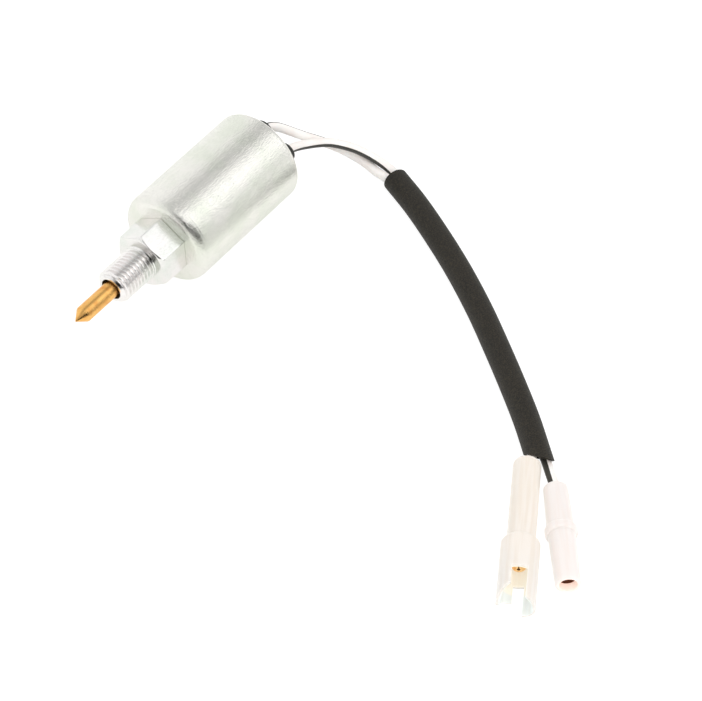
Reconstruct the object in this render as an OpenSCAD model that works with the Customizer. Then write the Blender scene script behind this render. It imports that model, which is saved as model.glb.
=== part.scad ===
// Fuel shutoff solenoid: a plated can with a hex and hollow threaded stud, a
// spring-loaded brass needle, and two sleeved leads that end in bullet connectors.
// The needle's axis is X, the can lies on its side, and X is 0 at the thread seat.

/* [Can] */
// Outer diameter of the can
can_d = 27; // [24:0.5:32]
// Length of the can from its front face to its rolled rear edge
can_l = 41.4; // [40:0.2:50]
// Wall of the drawn can
can_wall = 1.2; // [0.8:0.1:1.5]
// Outer radius of the front shoulder
can_front_r = 2.6; // [2:0.1:3.5]
// Outer radius of the rolled rear edge
can_rear_r = 1.7; // [1.4:0.1:2]
// How far the rolled edge turns in over the rear plug
lip_w = 2.6; // [2:0.1:3]

/* [Hex and stud] */
// Width of the hex across its flats
hex_af = 15; // [14:0.5:19]
// Length of the hex
hex_l = 9; // [6:0.5:12]
// Height of the chamfer on the hex's front corners
hex_chamfer = 0.95; // [0.6:0.05:1.2]
// Turn of the hex about its axis, in degrees
hex_turn = 28; // [0:1:60]
// Major diameter of the stud's thread
stud_d = 10; // [9.5:0.1:11]
// Length of the stud
stud_l = 12.3; // [9:0.1:16]
// Chamfer at the stud's end
stud_chamfer = 1.2; // [0.6:0.1:1.3]
// Bore through the stud
stud_bore_d = 6.6; // [6.2:0.1:7]
// Diameter of the spigot that is riveted into the can
spigot_d = 13; // [12.6:0.1:14]

/* [Needle and plunger] */
// Diameter of the brass needle
needle_d = 4.6; // [4:0.1:5]
// How far the needle stands out of the stud at rest
needle_out = 14; // [10:0.5:16]
// Length of the needle's cone
cone_l = 2.9; // [2:0.1:4]
// Travel of the plunger
stroke = 3.5; // [2:0.1:4]
// Diameter of the plunger
plunger_d = 8; // [7.8:0.1:8.4]
// Length of the plunger
plunger_l = 23; // [20:0.5:24]
// Running clearance round the plunger, on the radius
run_gap = 0.08; // [0.05:0.01:0.1]
// Wall of the guide tube
tube_wall = 0.5; // [0.4:0.05:0.6]
// Gap that the plunger keeps to its end stops
stop_gap = 0.1; // [0.05:0.01:0.3]

/* [Spring] */
// Outer diameter of the return spring
spring_d = 4.6; // [4:0.1:4.8]
// Wire diameter of the return spring
spring_wire = 0.5; // [0.4:0.05:0.6]
// Number of coils
spring_turns = 8; // [6:1:9]
// Depth of the spring's pocket in the plunger
plunger_pocket = 8; // [6:0.5:10]
// Depth of the spring's pocket in the core
core_pocket = 3; // [2:0.5:5]

/* [Coil] */
// Thickness of the steel pole washers
washer_t = 2; // [1.5:0.1:2.2]
// Wall of the bobbin's barrel
bobbin_wall = 0.8; // [0.6:0.1:1]
// Thickness of the bobbin's flanges
flange_t = 1.2; // [1:0.1:1.5]
// Space between the can's wall and the bobbin's flanges
flange_gap = 0.3; // [0.2:0.1:0.6]
// How far the winding stays inside the flanges
winding_inset = 0.9; // [0.8:0.1:1.5]
// Thickness of the tape round the winding
wrap_t = 0.3; // [0.2:0.1:0.5]
// Thickness of the rear plug's disc
plug_t = 3.6; // [3:0.1:4.5]

/* [Lead bosses] */
// Diameter of each boss on the rear plug
boss_d = 5.8; // [5:0.1:6]
// Height of each boss above the rolled edge
boss_h = 6.8; // [5:0.1:7.6]
// Distance between the bosses
boss_pitch = 8.4; // [7.6:0.1:9]
// Turn of the line through the bosses below the level, in degrees
boss_turn = 28; // [20:1:35]
// Size of the leads over their insulation
lead_d = 2.6; // [2.2:0.1:2.7]

/* [Harness] */
// Outer diameter of the sleeve
sleeve_d = 7; // [6.8:0.1:7.4]
// Bore of the sleeve
sleeve_bore = 6; // [5.8:0.1:6.2]
// Diameter of the bullet terminals' pin
bullet_d = 3.9; // [3.5:0.1:4]
// Wall of the rolled terminals
terminal_wall = 0.4; // [0.3:0.05:0.5]
// Length of the male housing to its long prong
male_l = 46; // [44:0.2:48]
// Outer diameter of the male housing's narrow end
male_d = 7.1; // [6.8:0.1:7.6]
// Outer diameter of its shroud
shroud_d = 9.8; // [9.4:0.1:10.4]
// Wall of the shroud
shroud_wall = 0.9; // [0.7:0.05:1]
// Distance from the rear of the male housing to its shroud's shoulder
shroud_start = 25.4; // [23:0.2:27]
// Distance from the rear of the male housing to the ends of its slots
slot_start = 36.2; // [35:0.2:37]
// Width of the upper slot between the prongs
slot_w = 3.8; // [3:0.1:4.4]
// Width of the lower slot
slot_low_w = 2.7; // [2.2:0.1:3.4]
// How much shorter the second prong is
prong_step = 1; // [0:0.2:2]
// How far the second prong's corners are cut back to form a tongue
tongue_cut = 4; // [1.2:0.1:5]
// How far the bullet pin ends behind the slots' ends
pin_recess = 2.2; // [1:0.1:3]
// Length of the female housing
female_l = 30.6; // [28:0.2:34]
// Diameter of the female housing behind its ring
female_d = 6.8; // [6.6:0.1:7.4]
// Diameter of its ring
ring_d = 8.2; // [7.8:0.1:9]
// Distance from the rear of the female housing to the middle of its ring
ring_at = 14.2; // [13:0.2:16]
// Width of the ring
ring_w = 2.4; // [2:0.1:3]
// How far the female terminal's mouth lies inside its housing
mouth_recess = 1.2; // [0.8:0.1:2]
// Length of the female terminal's socket
socket_l = 9; // [8:0.5:12]

/* [Hidden] */

$fn = 96;
fine = 32;
eps = 0.01;
over = 1;

// Places along the axis
can_front = hex_l;
can_rear = can_front + can_l;
washer_front = can_front + can_wall;
bobbin_front = washer_front + washer_t;
plug_rear = can_rear - can_rear_r;
plug_front = plug_rear - plug_t;
rear_washer_front = plug_front - washer_t;
bobbin_rear = rear_washer_front;
boss_end = can_rear + boss_h;
can_id = can_d - 2 * can_wall;

// Fits of the magnetic circuit, on diameters
slip = 0.04;
tube_id = plunger_d + 2 * run_gap;
tube_od = tube_id + 2 * tube_wall;
body_bore = tube_od + slip;
hex_play = 0.1;
tube_front = 2.4;
step_x = 1;
plunger_front = step_x + stop_gap;
plunger_rear = plunger_front + plunger_l;
shim_t = 0.3;
shim_play = 0.4;
shim_x = plunger_rear + stroke + stop_gap;
core_x = shim_x + shim_t;
core_d = tube_id - slip;
core_tail_d = 5.6;
tube_rear = rear_washer_front;
spring_play = 0.5;
spring_pocket_d = spring_d + spring_play;
plunger_edge = 0.4;
spring_front = plunger_rear - plunger_pocket + stop_gap;
spring_rear = core_x + core_pocket - stop_gap;

// O-rings and their grooves
ring_wire = 1;
ring_gap = 0.02;
groove_w = ring_wire + 0.2;
groove_h = 0.8;
body_groove_x = 5;
core_groove_x = core_x + 6;
core_groove_d = core_d - 2 * groove_h;
body_groove_d = body_bore + 2 * groove_h;

// Bobbin and winding
flange_d = can_id - 2 * flange_gap;
barrel_play = 0.1;
barrel_id = tube_od + barrel_play;
barrel_od = barrel_id + 2 * bobbin_wall;
winding_d = flange_d - 2 * winding_inset;
notch_w = 1.2;

// Bosses and the leads that come out of them
boss_y = boss_pitch / 2 * cos(boss_turn);
boss_z = boss_pitch / 2 * sin(boss_turn);
hole_play = 0.1;
lead_hole = lead_d + hole_play;
splice_d = 1.6;
splice_play = 0.4;
splice_l = 3.2;
washer_hole = splice_d + 2 * splice_play;
lead_depth = 1.6;
lead_start = plug_front + lead_depth;
boss_edge = 0.5;
plug_play = 0.2;
plug_rise = can_rear_r * 0.6;

// The needle's shank in the plunger
shank_d = 3;
shank_l = 7;
shank_gap = 0.2;
collar_l = 0.4;
tip_l = 0.06;
tip_r = 0.12;
line_w = 0.2;
line_h = 0.12;

// Connectors: the rear end's middle and the heading of each axis
floor_z = -can_d / 2;
male_at = [10.96, -115.28];
male_turn = -148.9;
female_at = [8.9, -125.1];
female_turn = -139.7;
male_z = floor_z + shroud_d / 2;
female_z = floor_z + ring_d / 2;
male_end_r = 1.6;
shoulder_r = 1.3;
shroud_floor = 0.5;
shroud_bore_start = shroud_start + shoulder_r + shroud_floor;
slot_off = 0.3;
prong_cut = 1.1;
prong_tip_h = 0.6;
male_crimp_d = 3.4;
female_crimp_d = 3.4;
crimp_l = 4.6;
lead_room = 0.3;
pin_end = slot_start - pin_recess;
pin_start = shroud_bore_start;
pin_l = pin_end - pin_start;
pin_seat_l = 2.6;
pin_nose = 1.5;
pin_floor = 2;
stop_bead_d = 4.9;
female_mouth_d = bullet_d + 0.5;
socket_d = bullet_d + 0.06;
socket_floor = 1;
female_end_r = 0.6;
female_rear_step = 0.3;
female_front_step = 0.2;
socket_end = female_l - mouth_recess;
socket_start = socket_end - socket_l;

// Routes of the leads' middles, from the plug to the connectors
lead_a_out = [[58.5, 3.4, 1.7], [60.4, 2.4, 0.9], [61.9, 1.1, -0.2], [64.5, -1.6, -2.5],
              [66.5, -3.7, -4.2], [68.6, -5.9, -5.8], [70.4, -8.3, -7.3], [71.7, -11.4, -8.4],
              [72.4, -15.2, -9.2], [72.4, -19.2, -9.7], [71.8, -23, -10]];
lead_b_out = [[58.8, -4, -2.2], [61.1, -4.8, -2.6], [63.4, -6.1, -3], [65.5, -7.7, -3.2],
              [67.4, -9.6, -3.4], [69.1, -11.8, -3.9], [71.4, -15.7, -5.1],
              [73.1, -19.6, -6.8], [74, -23.2, -8.3], [74.2, -26.4, -9.4]];
sleeve_route = [[72.4, -29, -10], [68.4, -38.2, -10], [63.6, -47.6, -10],
                [55.8, -61.4, -10], [47, -75, -10], [38, -87.4, -10], [30.6, -97.2, -10],
                [23, -106.8, -10], [15.4, -115.5, -10]];
lead_a_in = [[14.2, -114.4, -9.8]];
lead_b_in = [[16.4, -116.4, -10], [14.8, -118.4, -10], [11.8, -121.8, -9.8]];
lead_side = 1.4;
straight_l = 0.8;
entry_l = 1;
sleeve_sides = 12;
lead_sides = 8;

// Unit vector along v
function unit(v) = v / norm(v);

// Direction of a route at its point i
function heading(p, i) = unit(p[min(i + 1, len(p) - 1)] - p[max(i - 1, 0)]);

// Points of one ring round a route's point
function ring_at_point(p, i, r, sides) =
    let (t = heading(p, i), side = unit(cross(t, [0, 0, 1])), up = cross(side, t))
    [for (k = [0 : sides - 1])
        p[i] + r * cos(360 * (k + 0.5) / sides) * side + r * sin(360 * (k + 0.5) / sides) * up];

// The sleeve's route moved sideways, for a lead inside it
function beside(p, off) =
    [for (i = [0 : len(p) - 1]) p[i] + off * unit(cross(heading(p, i), [0, 0, 1]))];

// Point at distance s along a connector's axis
function on_axis(at, z, turn, s) = [at[0] + s * cos(turn), at[1] + s * sin(turn), z];

// A closed tube swept along a route as one polyhedron
module sweep_round(p, r, sides) {
    n = len(p);
    polyhedron(
        points = [for (i = [0 : n - 1]) each ring_at_point(p, i, r, sides)],
        faces = concat(
            [[for (k = [sides - 1 : -1 : 0]) k]],
            [for (i = [0 : n - 2]) for (k = [0 : sides - 1])
                [i * sides + k, i * sides + (k + 1) % sides,
                 (i + 1) * sides + (k + 1) % sides, (i + 1) * sides + k]],
            [[for (k = [0 : sides - 1]) (n - 1) * sides + k]]));
}

// An open tube swept along a route: an outer skin, an inner skin and two end rings
module sweep_tube(p, r, bore_r, sides) {
    n = len(p);
    m = n * sides;
    polyhedron(
        points = concat(
            [for (i = [0 : n - 1]) each ring_at_point(p, i, r, sides)],
            [for (i = [0 : n - 1]) each ring_at_point(p, i, bore_r, sides)]),
        faces = concat(
            [for (i = [0 : n - 2]) for (k = [0 : sides - 1])
                [i * sides + k, i * sides + (k + 1) % sides,
                 (i + 1) * sides + (k + 1) % sides, (i + 1) * sides + k]],
            [for (i = [0 : n - 2]) for (k = [0 : sides - 1])
                [m + (i + 1) * sides + k, m + (i + 1) * sides + (k + 1) % sides,
                 m + i * sides + (k + 1) % sides, m + i * sides + k]],
            [for (k = [0 : sides - 1])
                [k, m + k, m + (k + 1) % sides, (k + 1) % sides]],
            [for (k = [0 : sides - 1])
                [m - sides + k, m - sides + (k + 1) % sides,
                 2 * m - sides + (k + 1) % sides, 2 * m - sides + k]]));
}

// Turns a profile drawn as [x along the axis, radius] round the X axis
module turned() {
    rotate([0, 90, 0]) rotate_extrude() mirror([1, -1]) children();
}

// A plain ring on the X axis
module tube_x(x, l, od, id) {
    turned() translate([x, id / 2]) square([l, (od - id) / 2]);
}

// A disc or rod on the X axis
module rod_x(x, l, d) {
    turned() translate([x, 0]) square([l, d / 2]);
}

// Puts a piece that is drawn from x = 0 along +X onto a connector's axis
module on_connector(at, z, turn) {
    translate([at[0], at[1], z]) rotate([0, 0, turn]) children();
}

// Places a hole or a boss on each lead's line at the rear
module at_lead(side) {
    translate([0, side * boss_y, side * boss_z]) children();
}

// Cuts a profile's outer corner to an arc of radius r; toward is 1 at the low end of X
module corner_cut(x, edge_r, r, toward) {
    translate([x, edge_r]) mirror([toward > 0 ? 0 : 1, 0]) difference() {
        translate([-over, -r]) square([r + over, r + over]);
        translate([r, -r]) circle(r);
    }
}

// Drawn steel can: round front shoulder, straight wall and rear edge rolled inwards
module case_can() {
    color([0.84, 0.84, 0.80]) turned() difference() {
        translate([can_front, 0]) square([can_l, can_d / 2]);
        corner_cut(can_front, can_d / 2, can_front_r, 1);
        corner_cut(can_rear, can_d / 2, can_rear_r, -1);
        // Inside of the can, with the lip left over the plug
        translate([washer_front, -eps]) square([plug_rear - washer_front, can_id / 2 + eps]);
        translate([plug_rear - eps, -eps])
            square([can_rear_r + 2 * eps, can_d / 2 - lip_w + eps]);
        // Hole for the riveted spigot
        translate([can_front - eps, -eps])
            square([can_wall + 2 * eps, (spigot_d + slip) / 2 + eps]);
    }
}

// Turned steel body: hollow stud, chamfered hex and the spigot that holds the can
module hex_stud_body() {
    hex_ac = hex_af / cos(30);
    color([0.86, 0.86, 0.82]) difference() {
        union() {
            turned() polygon([[-stud_l, 0], [-stud_l, stud_d / 2 - stud_chamfer],
                              [-stud_l + stud_chamfer, stud_d / 2], [eps, stud_d / 2], [eps, 0]]);
            intersection() {
                rotate([0, 90, 0]) rotate([0, 0, hex_turn - 30])
                    cylinder(h = hex_l, d = hex_ac, $fn = 6);
                turned() polygon([[0, 0], [0, hex_af / 2 - hex_play],
                                  [hex_chamfer, hex_ac / 2 + hex_play],
                                  [hex_l, hex_ac / 2 + hex_play],
                                  [hex_l, 0]]);
            }
            rod_x(hex_l - eps, can_wall + washer_t + eps, spigot_d);
        }
        rod_x(-stud_l - over, stud_l + step_x + over + eps, stud_bore_d);
        rod_x(step_x, tube_front - step_x + eps, tube_id);
        rod_x(tube_front, bobbin_front - tube_front + over, body_bore);
        rod_x(body_groove_x, groove_w, body_groove_d);
    }
}

// Steel washer that carries the field from the can to the body
module front_pole_washer() {
    color([0.55, 0.56, 0.58]) tube_x(washer_front, washer_t, can_id - slip, spigot_d + slip);
}

// Rear steel washer, held by the core's tail, with two holes for the coil's ends
module rear_pole_washer() {
    color([0.55, 0.56, 0.58]) difference() {
        tube_x(rear_washer_front, washer_t, can_id - slip, core_tail_d + slip);
        for (side = [1, -1])
            at_lead(side) rod_x(rear_washer_front - over, washer_t + 2 * over, washer_hole);
    }
}

// Moulded bobbin with a flange at each end
module coil_bobbin() {
    color([0.20, 0.20, 0.22]) difference() {
        union() {
            rod_x(bobbin_front, bobbin_rear - bobbin_front, barrel_od);
            rod_x(bobbin_front, flange_t, flange_d);
            rod_x(bobbin_rear - flange_t, flange_t, flange_d);
        }
        rod_x(bobbin_front - over, bobbin_rear - bobbin_front + 2 * over, barrel_id);
        // Notches in the rear flange for the coil's two ends
        for (side = [0, 180]) rotate([side + boss_turn, 0, 0])
            translate([bobbin_rear - flange_t - eps, barrel_od / 2, -notch_w / 2])
                cube([flange_t + over, flange_d, notch_w]);
    }
}

// The coil's copper turns as one solid
module coil_winding() {
    color([0.72, 0.38, 0.18])
        tube_x(bobbin_front + flange_t, bobbin_rear - bobbin_front - 2 * flange_t,
               winding_d, barrel_od);
}

// Tape round the winding
module coil_wrap() {
    color([0.85, 0.78, 0.45])
        tube_x(bobbin_front + flange_t, bobbin_rear - bobbin_front - 2 * flange_t,
               winding_d + 2 * wrap_t, winding_d);
}

// Thin brass tube that guides the plunger and holds the core
module guide_tube() {
    color([0.80, 0.66, 0.36])
        tube_x(tube_front, tube_rear - tube_front, tube_od, tube_id);
}

// Fixed steel core with the spring's pocket, an O-ring groove and a riveted tail
module fixed_core() {
    color([0.60, 0.61, 0.63]) turned() difference() {
        union() {
            translate([core_x, 0]) square([tube_rear - core_x, core_d / 2]);
            translate([core_x, 0])
                square([rear_washer_front + washer_t - core_x, core_tail_d / 2]);
        }
        translate([core_x - eps, -eps]) square([core_pocket + eps, spring_pocket_d / 2 + eps]);
        translate([core_groove_x, core_groove_d / 2]) square([groove_w, groove_h + over]);
    }
}

// O-ring between the core and the guide tube
module core_oring() {
    color([0.10, 0.10, 0.10]) turned()
        translate([core_groove_x + groove_w / 2,
                   (core_groove_d + tube_id) / 4])
            circle((tube_id - core_groove_d) / 4 - ring_gap, $fn = fine);
}

// O-ring between the guide tube and the body
module body_oring() {
    color([0.10, 0.10, 0.10]) turned()
        translate([body_groove_x + groove_w / 2,
                   (body_groove_d + tube_od) / 4])
            circle((body_groove_d - tube_od) / 4 - ring_gap, $fn = fine);
}

// Steel plunger: bored in front for the needle's shank and behind for the spring
module plunger() {
    color([0.66, 0.67, 0.69]) turned() difference() {
        polygon([[plunger_front, 0], [plunger_front, plunger_d / 2 - plunger_edge],
                 [plunger_front + plunger_edge, plunger_d / 2],
                 [plunger_rear - plunger_edge, plunger_d / 2],
                 [plunger_rear, plunger_d / 2 - plunger_edge], [plunger_rear, 0]]);
        translate([plunger_front - eps, -eps]) square([shank_l + eps, (shank_d + slip) / 2 + eps]);
        translate([plunger_rear - plunger_pocket, -eps])
            square([plunger_pocket + eps, spring_pocket_d / 2 + eps]);
    }
}

// Brass needle: cone, a fine turned line behind it, rod and shank
module needle() {
    tip_x = -stud_l - needle_out;
    base_x = tip_x + cone_l;
    color([0.86, 0.64, 0.26]) turned()
        polygon([[tip_x, 0], [tip_x + tip_l, tip_r], [base_x, needle_d / 2 - line_h],
                 [base_x + line_w, needle_d / 2 - line_h],
                 [base_x + line_w + line_h, needle_d / 2],
                 [plunger_front - collar_l, needle_d / 2],
                 [plunger_front, needle_d / 2 - collar_l],
                 [plunger_front, shank_d / 2],
                 [plunger_front + shank_l - shank_gap, shank_d / 2],
                 [plunger_front + shank_l - shank_gap, 0]]);
}

// Return spring between the plunger and the core
module return_spring() {
    steps = 12;
    sides = 6;
    mean_r = (spring_d - spring_wire) / 2;
    wire_r = spring_wire / 2;
    run = spring_rear - spring_front - spring_wire;
    n = spring_turns * steps;
    color([0.75, 0.76, 0.78]) polyhedron(
        points = [for (i = [0 : n])
            let (a = 360 * i / steps, x = spring_front + wire_r + run * i / n)
            for (k = [0 : sides - 1]) let (b = 360 * k / sides, r = mean_r + wire_r * cos(b))
                [x + wire_r * sin(b), r * cos(a), r * sin(a)]],
        faces = concat(
            [[for (k = [0 : sides - 1]) k]],
            [for (i = [0 : n - 1]) for (k = [0 : sides - 1])
                [i * sides + k, (i + 1) * sides + k,
                 (i + 1) * sides + (k + 1) % sides, i * sides + (k + 1) % sides]],
            [[for (k = [sides - 1 : -1 : 0]) n * sides + k]]));
}

// Thin brass shim on the core's face
module stop_shim() {
    color([0.82, 0.68, 0.34]) tube_x(shim_x, shim_t, core_d - shim_play, spring_pocket_d);
}

// Crimped splice that joins a coil end to its lead
module splice(side) {
    color([0.78, 0.76, 0.70]) at_lead(side)
        rod_x(lead_start - splice_l, splice_l, splice_d);
}

module splice_a() { splice(1); }
module splice_b() { splice(-1); }

// Rubber plug under the rolled edge, with a boss for each lead
module rear_plug() {
    pocket_d = splice_d + splice_play;
    color([0.08, 0.08, 0.08]) difference() {
        union() {
            rod_x(plug_front, plug_t, can_id - slip);
            rod_x(plug_rear - eps, plug_rise, can_d - 2 * lip_w - 2 * plug_play);
            for (side = [1, -1]) at_lead(side) turned() {
                translate([plug_rear - eps, 0])
                    square([boss_end - plug_rear - boss_edge + eps, boss_d / 2]);
                translate([boss_end - boss_edge - eps, 0])
                    square([boss_edge + eps, boss_d / 2 - boss_edge]);
                translate([boss_end - boss_edge, boss_d / 2 - boss_edge])
                    circle(boss_edge, $fn = fine);
            }
        }
        for (side = [1, -1]) at_lead(side) {
            rod_x(lead_start, boss_end - lead_start + over, lead_hole);
            rod_x(plug_front - over, lead_depth + over + eps, pocket_d);
        }
    }
}

// A lead from its splice in the plug to its terminal
module lead(side, out, in, tail) {
    start = [[lead_start, side * boss_y, side * boss_z],
             [boss_end - straight_l, side * boss_y, side * boss_z]];
    inside = beside(sleeve_route, side * lead_side);
    mid = [for (i = [0 : len(inside) - 2]) inside[i]];
    sweep_round(concat(start, out, mid, in, tail), lead_d / 2, lead_sides);
}

module lead_a() {
    color([0.93, 0.90, 0.87]) lead(1, lead_a_out, lead_a_in,
        [on_axis(male_at, male_z, male_turn, entry_l),
         on_axis(male_at, male_z, male_turn, pin_start - pin_seat_l - crimp_l)]);
}

module lead_b() {
    color([0.93, 0.90, 0.87]) lead(-1, lead_b_out, lead_b_in,
        [on_axis(female_at, female_z, female_turn, entry_l),
         on_axis(female_at, female_z, female_turn, socket_start - crimp_l)]);
}

// Black sleeve over both leads
module harness_sleeve() {
    color([0.17, 0.17, 0.16])
        sweep_tube(sleeve_route, sleeve_d / 2, sleeve_bore / 2, sleeve_sides);
}

// Male housing: rounded narrow end, shoulder, and a shroud slotted into two prongs
module male_housing() {
    color([0.94, 0.90, 0.84]) on_connector(male_at, male_z, male_turn) difference() {
        turned() difference() {
            union() {
                square([shroud_start + eps, male_d / 2]);
                translate([shroud_start, 0])
                    square([male_l - shroud_start, shroud_d / 2]);
            }
            corner_cut(0, male_d / 2, male_end_r, 1);
            corner_cut(shroud_start, shroud_d / 2, shoulder_r, 1);
            // Room for the lead, the crimp and the pin, then the shroud's bore
            translate([-eps, -eps]) square([pin_start + 2 * eps, (lead_d + lead_room) / 2 + eps]);
            translate([pin_start - pin_seat_l - crimp_l, -eps])
                square([crimp_l + eps, male_crimp_d / 2 + eps]);
            translate([pin_start - pin_seat_l, -eps])
                square([pin_seat_l + 2 * eps, (stop_bead_d + slip) / 2 + eps]);
            translate([pin_start, -eps])
                square([male_l, shroud_d / 2 - shroud_wall + eps]);
        }
        // Slots above and below
        translate([slot_start, slot_off - slot_w / 2, 0]) cube([male_l, slot_w, shroud_d]);
        translate([slot_start, slot_off - slot_low_w / 2, -shroud_d])
            cube([male_l, slot_low_w, shroud_d + eps]);
        prong_end(1, male_l, prong_cut);
        prong_end(-1, male_l - prong_step, tongue_cut);
    }
}

// What is cut off one prong's end: the corners above and below slope back by cut
module prong_end(side, end, cut) {
    translate([0, side > 0 ? 0 : -shroud_d, 0]) rotate([-90, 0, 0])
        linear_extrude(shroud_d) for (up = [1, -1])
            polygon([[end, -eps * up], [end, prong_tip_h * up],
                     [end - cut, shroud_d / 2 * up], [end - cut, shroud_d * up],
                     [male_l + over, shroud_d * up], [male_l + over, -eps * up]]);
}

// Male bullet: crimp barrel, stop bead and a rolled pin with a round nose
module male_bullet() {
    color([0.86, 0.66, 0.32]) on_connector(male_at, male_z, male_turn) turned()
        difference() {
            union() {
                translate([pin_start - pin_seat_l - crimp_l, 0])
                    square([crimp_l + eps, (male_crimp_d - 2 * slip) / 2]);
                translate([pin_start - pin_seat_l, 0]) square([pin_seat_l, stop_bead_d / 2]);
                translate([pin_start - eps, 0]) square([pin_l + eps, bullet_d / 2]);
            }
            corner_cut(pin_end, bullet_d / 2, pin_nose, -1);
            translate([pin_start + pin_floor, -eps])
                square([pin_l, bullet_d / 2 - pin_nose + eps]);
        }
}

// Female housing: slim body, a ring half way, and a mouth over the terminal
module female_housing() {
    rear_r = female_d / 2 - female_rear_step;
    mid_r = female_d / 2;
    front_r = female_d / 2 - female_front_step;
    end_r = female_end_r;
    bead_r = ring_d / 2 - mid_r;
    ring_low = ring_at - ring_w / 2;
    ring_high = ring_at + ring_w / 2;
    color([0.96, 0.93, 0.91]) on_connector(female_at, female_z, female_turn) turned()
        difference() {
            polygon([[0, 0], [0, rear_r], [end_r, rear_r], [ring_low, mid_r],
                     [ring_low, ring_d / 2], [ring_high, ring_d / 2], [ring_high, mid_r],
                     [female_l - end_r, front_r], [female_l, front_r], [female_l, 0]]);
            corner_cut(ring_low, ring_d / 2, bead_r, 1);
            corner_cut(ring_high, ring_d / 2, bead_r, -1);
            corner_cut(0, rear_r, end_r, 1);
            corner_cut(female_l, front_r, end_r, -1);
            translate([-over, -over])
                square([female_l + 2 * over, (lead_d + lead_room) / 2 + over]);
            translate([socket_start - crimp_l, -over])
                square([crimp_l + over, female_crimp_d / 2 + over]);
            translate([socket_start, -over])
                square([socket_l, (socket_d + 2 * terminal_wall + slip) / 2 + over]);
            translate([socket_end - eps, -over])
                square([mouth_recess + over, female_mouth_d / 2 + over]);
        }
}

// Female bullet: crimp barrel and an open socket
module female_bullet() {
    color([0.86, 0.66, 0.32]) on_connector(female_at, female_z, female_turn) turned()
        difference() {
            union() {
                translate([socket_start - crimp_l, 0])
                    square([crimp_l + eps, (female_crimp_d - 2 * slip) / 2]);
                translate([socket_start, 0])
                    square([socket_l, socket_d / 2 + terminal_wall]);
            }
            translate([socket_start + socket_floor, -eps])
                square([socket_l, socket_d / 2 + eps]);
        }
}

case_can();
hex_stud_body();
front_pole_washer();
rear_pole_washer();
coil_bobbin();
coil_winding();
coil_wrap();
guide_tube();
fixed_core();
core_oring();
body_oring();
plunger();
needle();
return_spring();
stop_shim();
splice_a();
splice_b();
rear_plug();
lead_a();
lead_b();
harness_sleeve();
male_housing();
male_bullet();
female_housing();
female_bullet();
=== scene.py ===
"""The looks of a fuel shutoff solenoid: zinc-plated can, hex and threaded stud, brass needle,
two striped leads in a black sleeve, and two bullet connectors in natural nylon.

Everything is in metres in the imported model's frame: the needle's axis is X, X is 0 at the
thread seat, +Z is up and the part lies on the plane z = FLOOR_Z.
"""

import logging
import math
from dataclasses import dataclass, field
from enum import Enum
from typing import Any, Callable, Iterable, Sequence

import bpy
from mathutils import Matrix, Vector


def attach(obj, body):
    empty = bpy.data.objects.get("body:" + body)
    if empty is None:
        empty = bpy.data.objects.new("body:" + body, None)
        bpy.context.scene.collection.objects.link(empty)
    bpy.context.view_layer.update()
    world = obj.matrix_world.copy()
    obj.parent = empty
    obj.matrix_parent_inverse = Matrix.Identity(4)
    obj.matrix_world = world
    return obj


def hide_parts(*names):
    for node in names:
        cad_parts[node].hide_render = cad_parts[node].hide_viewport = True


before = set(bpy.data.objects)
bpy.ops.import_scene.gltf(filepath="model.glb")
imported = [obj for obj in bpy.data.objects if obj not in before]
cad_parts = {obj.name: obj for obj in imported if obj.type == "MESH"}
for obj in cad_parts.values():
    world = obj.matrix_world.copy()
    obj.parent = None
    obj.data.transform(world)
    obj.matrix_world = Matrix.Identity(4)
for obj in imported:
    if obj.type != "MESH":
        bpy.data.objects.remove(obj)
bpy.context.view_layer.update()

log = logging.getLogger("solenoid")

MM = 0.001
FLOOR_Z = -13.5
BODY = "solenoid"
PLUNGER_BODY = "plunger_set"
SHARP_ANGLE = math.radians(38)

Point = tuple[float, float, float]
Colour = tuple[float, float, float]


def srgb(red: float, green: float, blue: float) -> Colour:
    """Turns a colour as seen, from 0 to 255, into the linear values that shaders use."""
    def linear(level: float) -> float:
        """Returns one channel in linear light."""
        share = level / 255
        return share / 12.92 if share <= 0.04045 else ((share + 0.055) / 1.055) ** 2.4
    return linear(red), linear(green), linear(blue)


# Shader graphs


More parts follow.
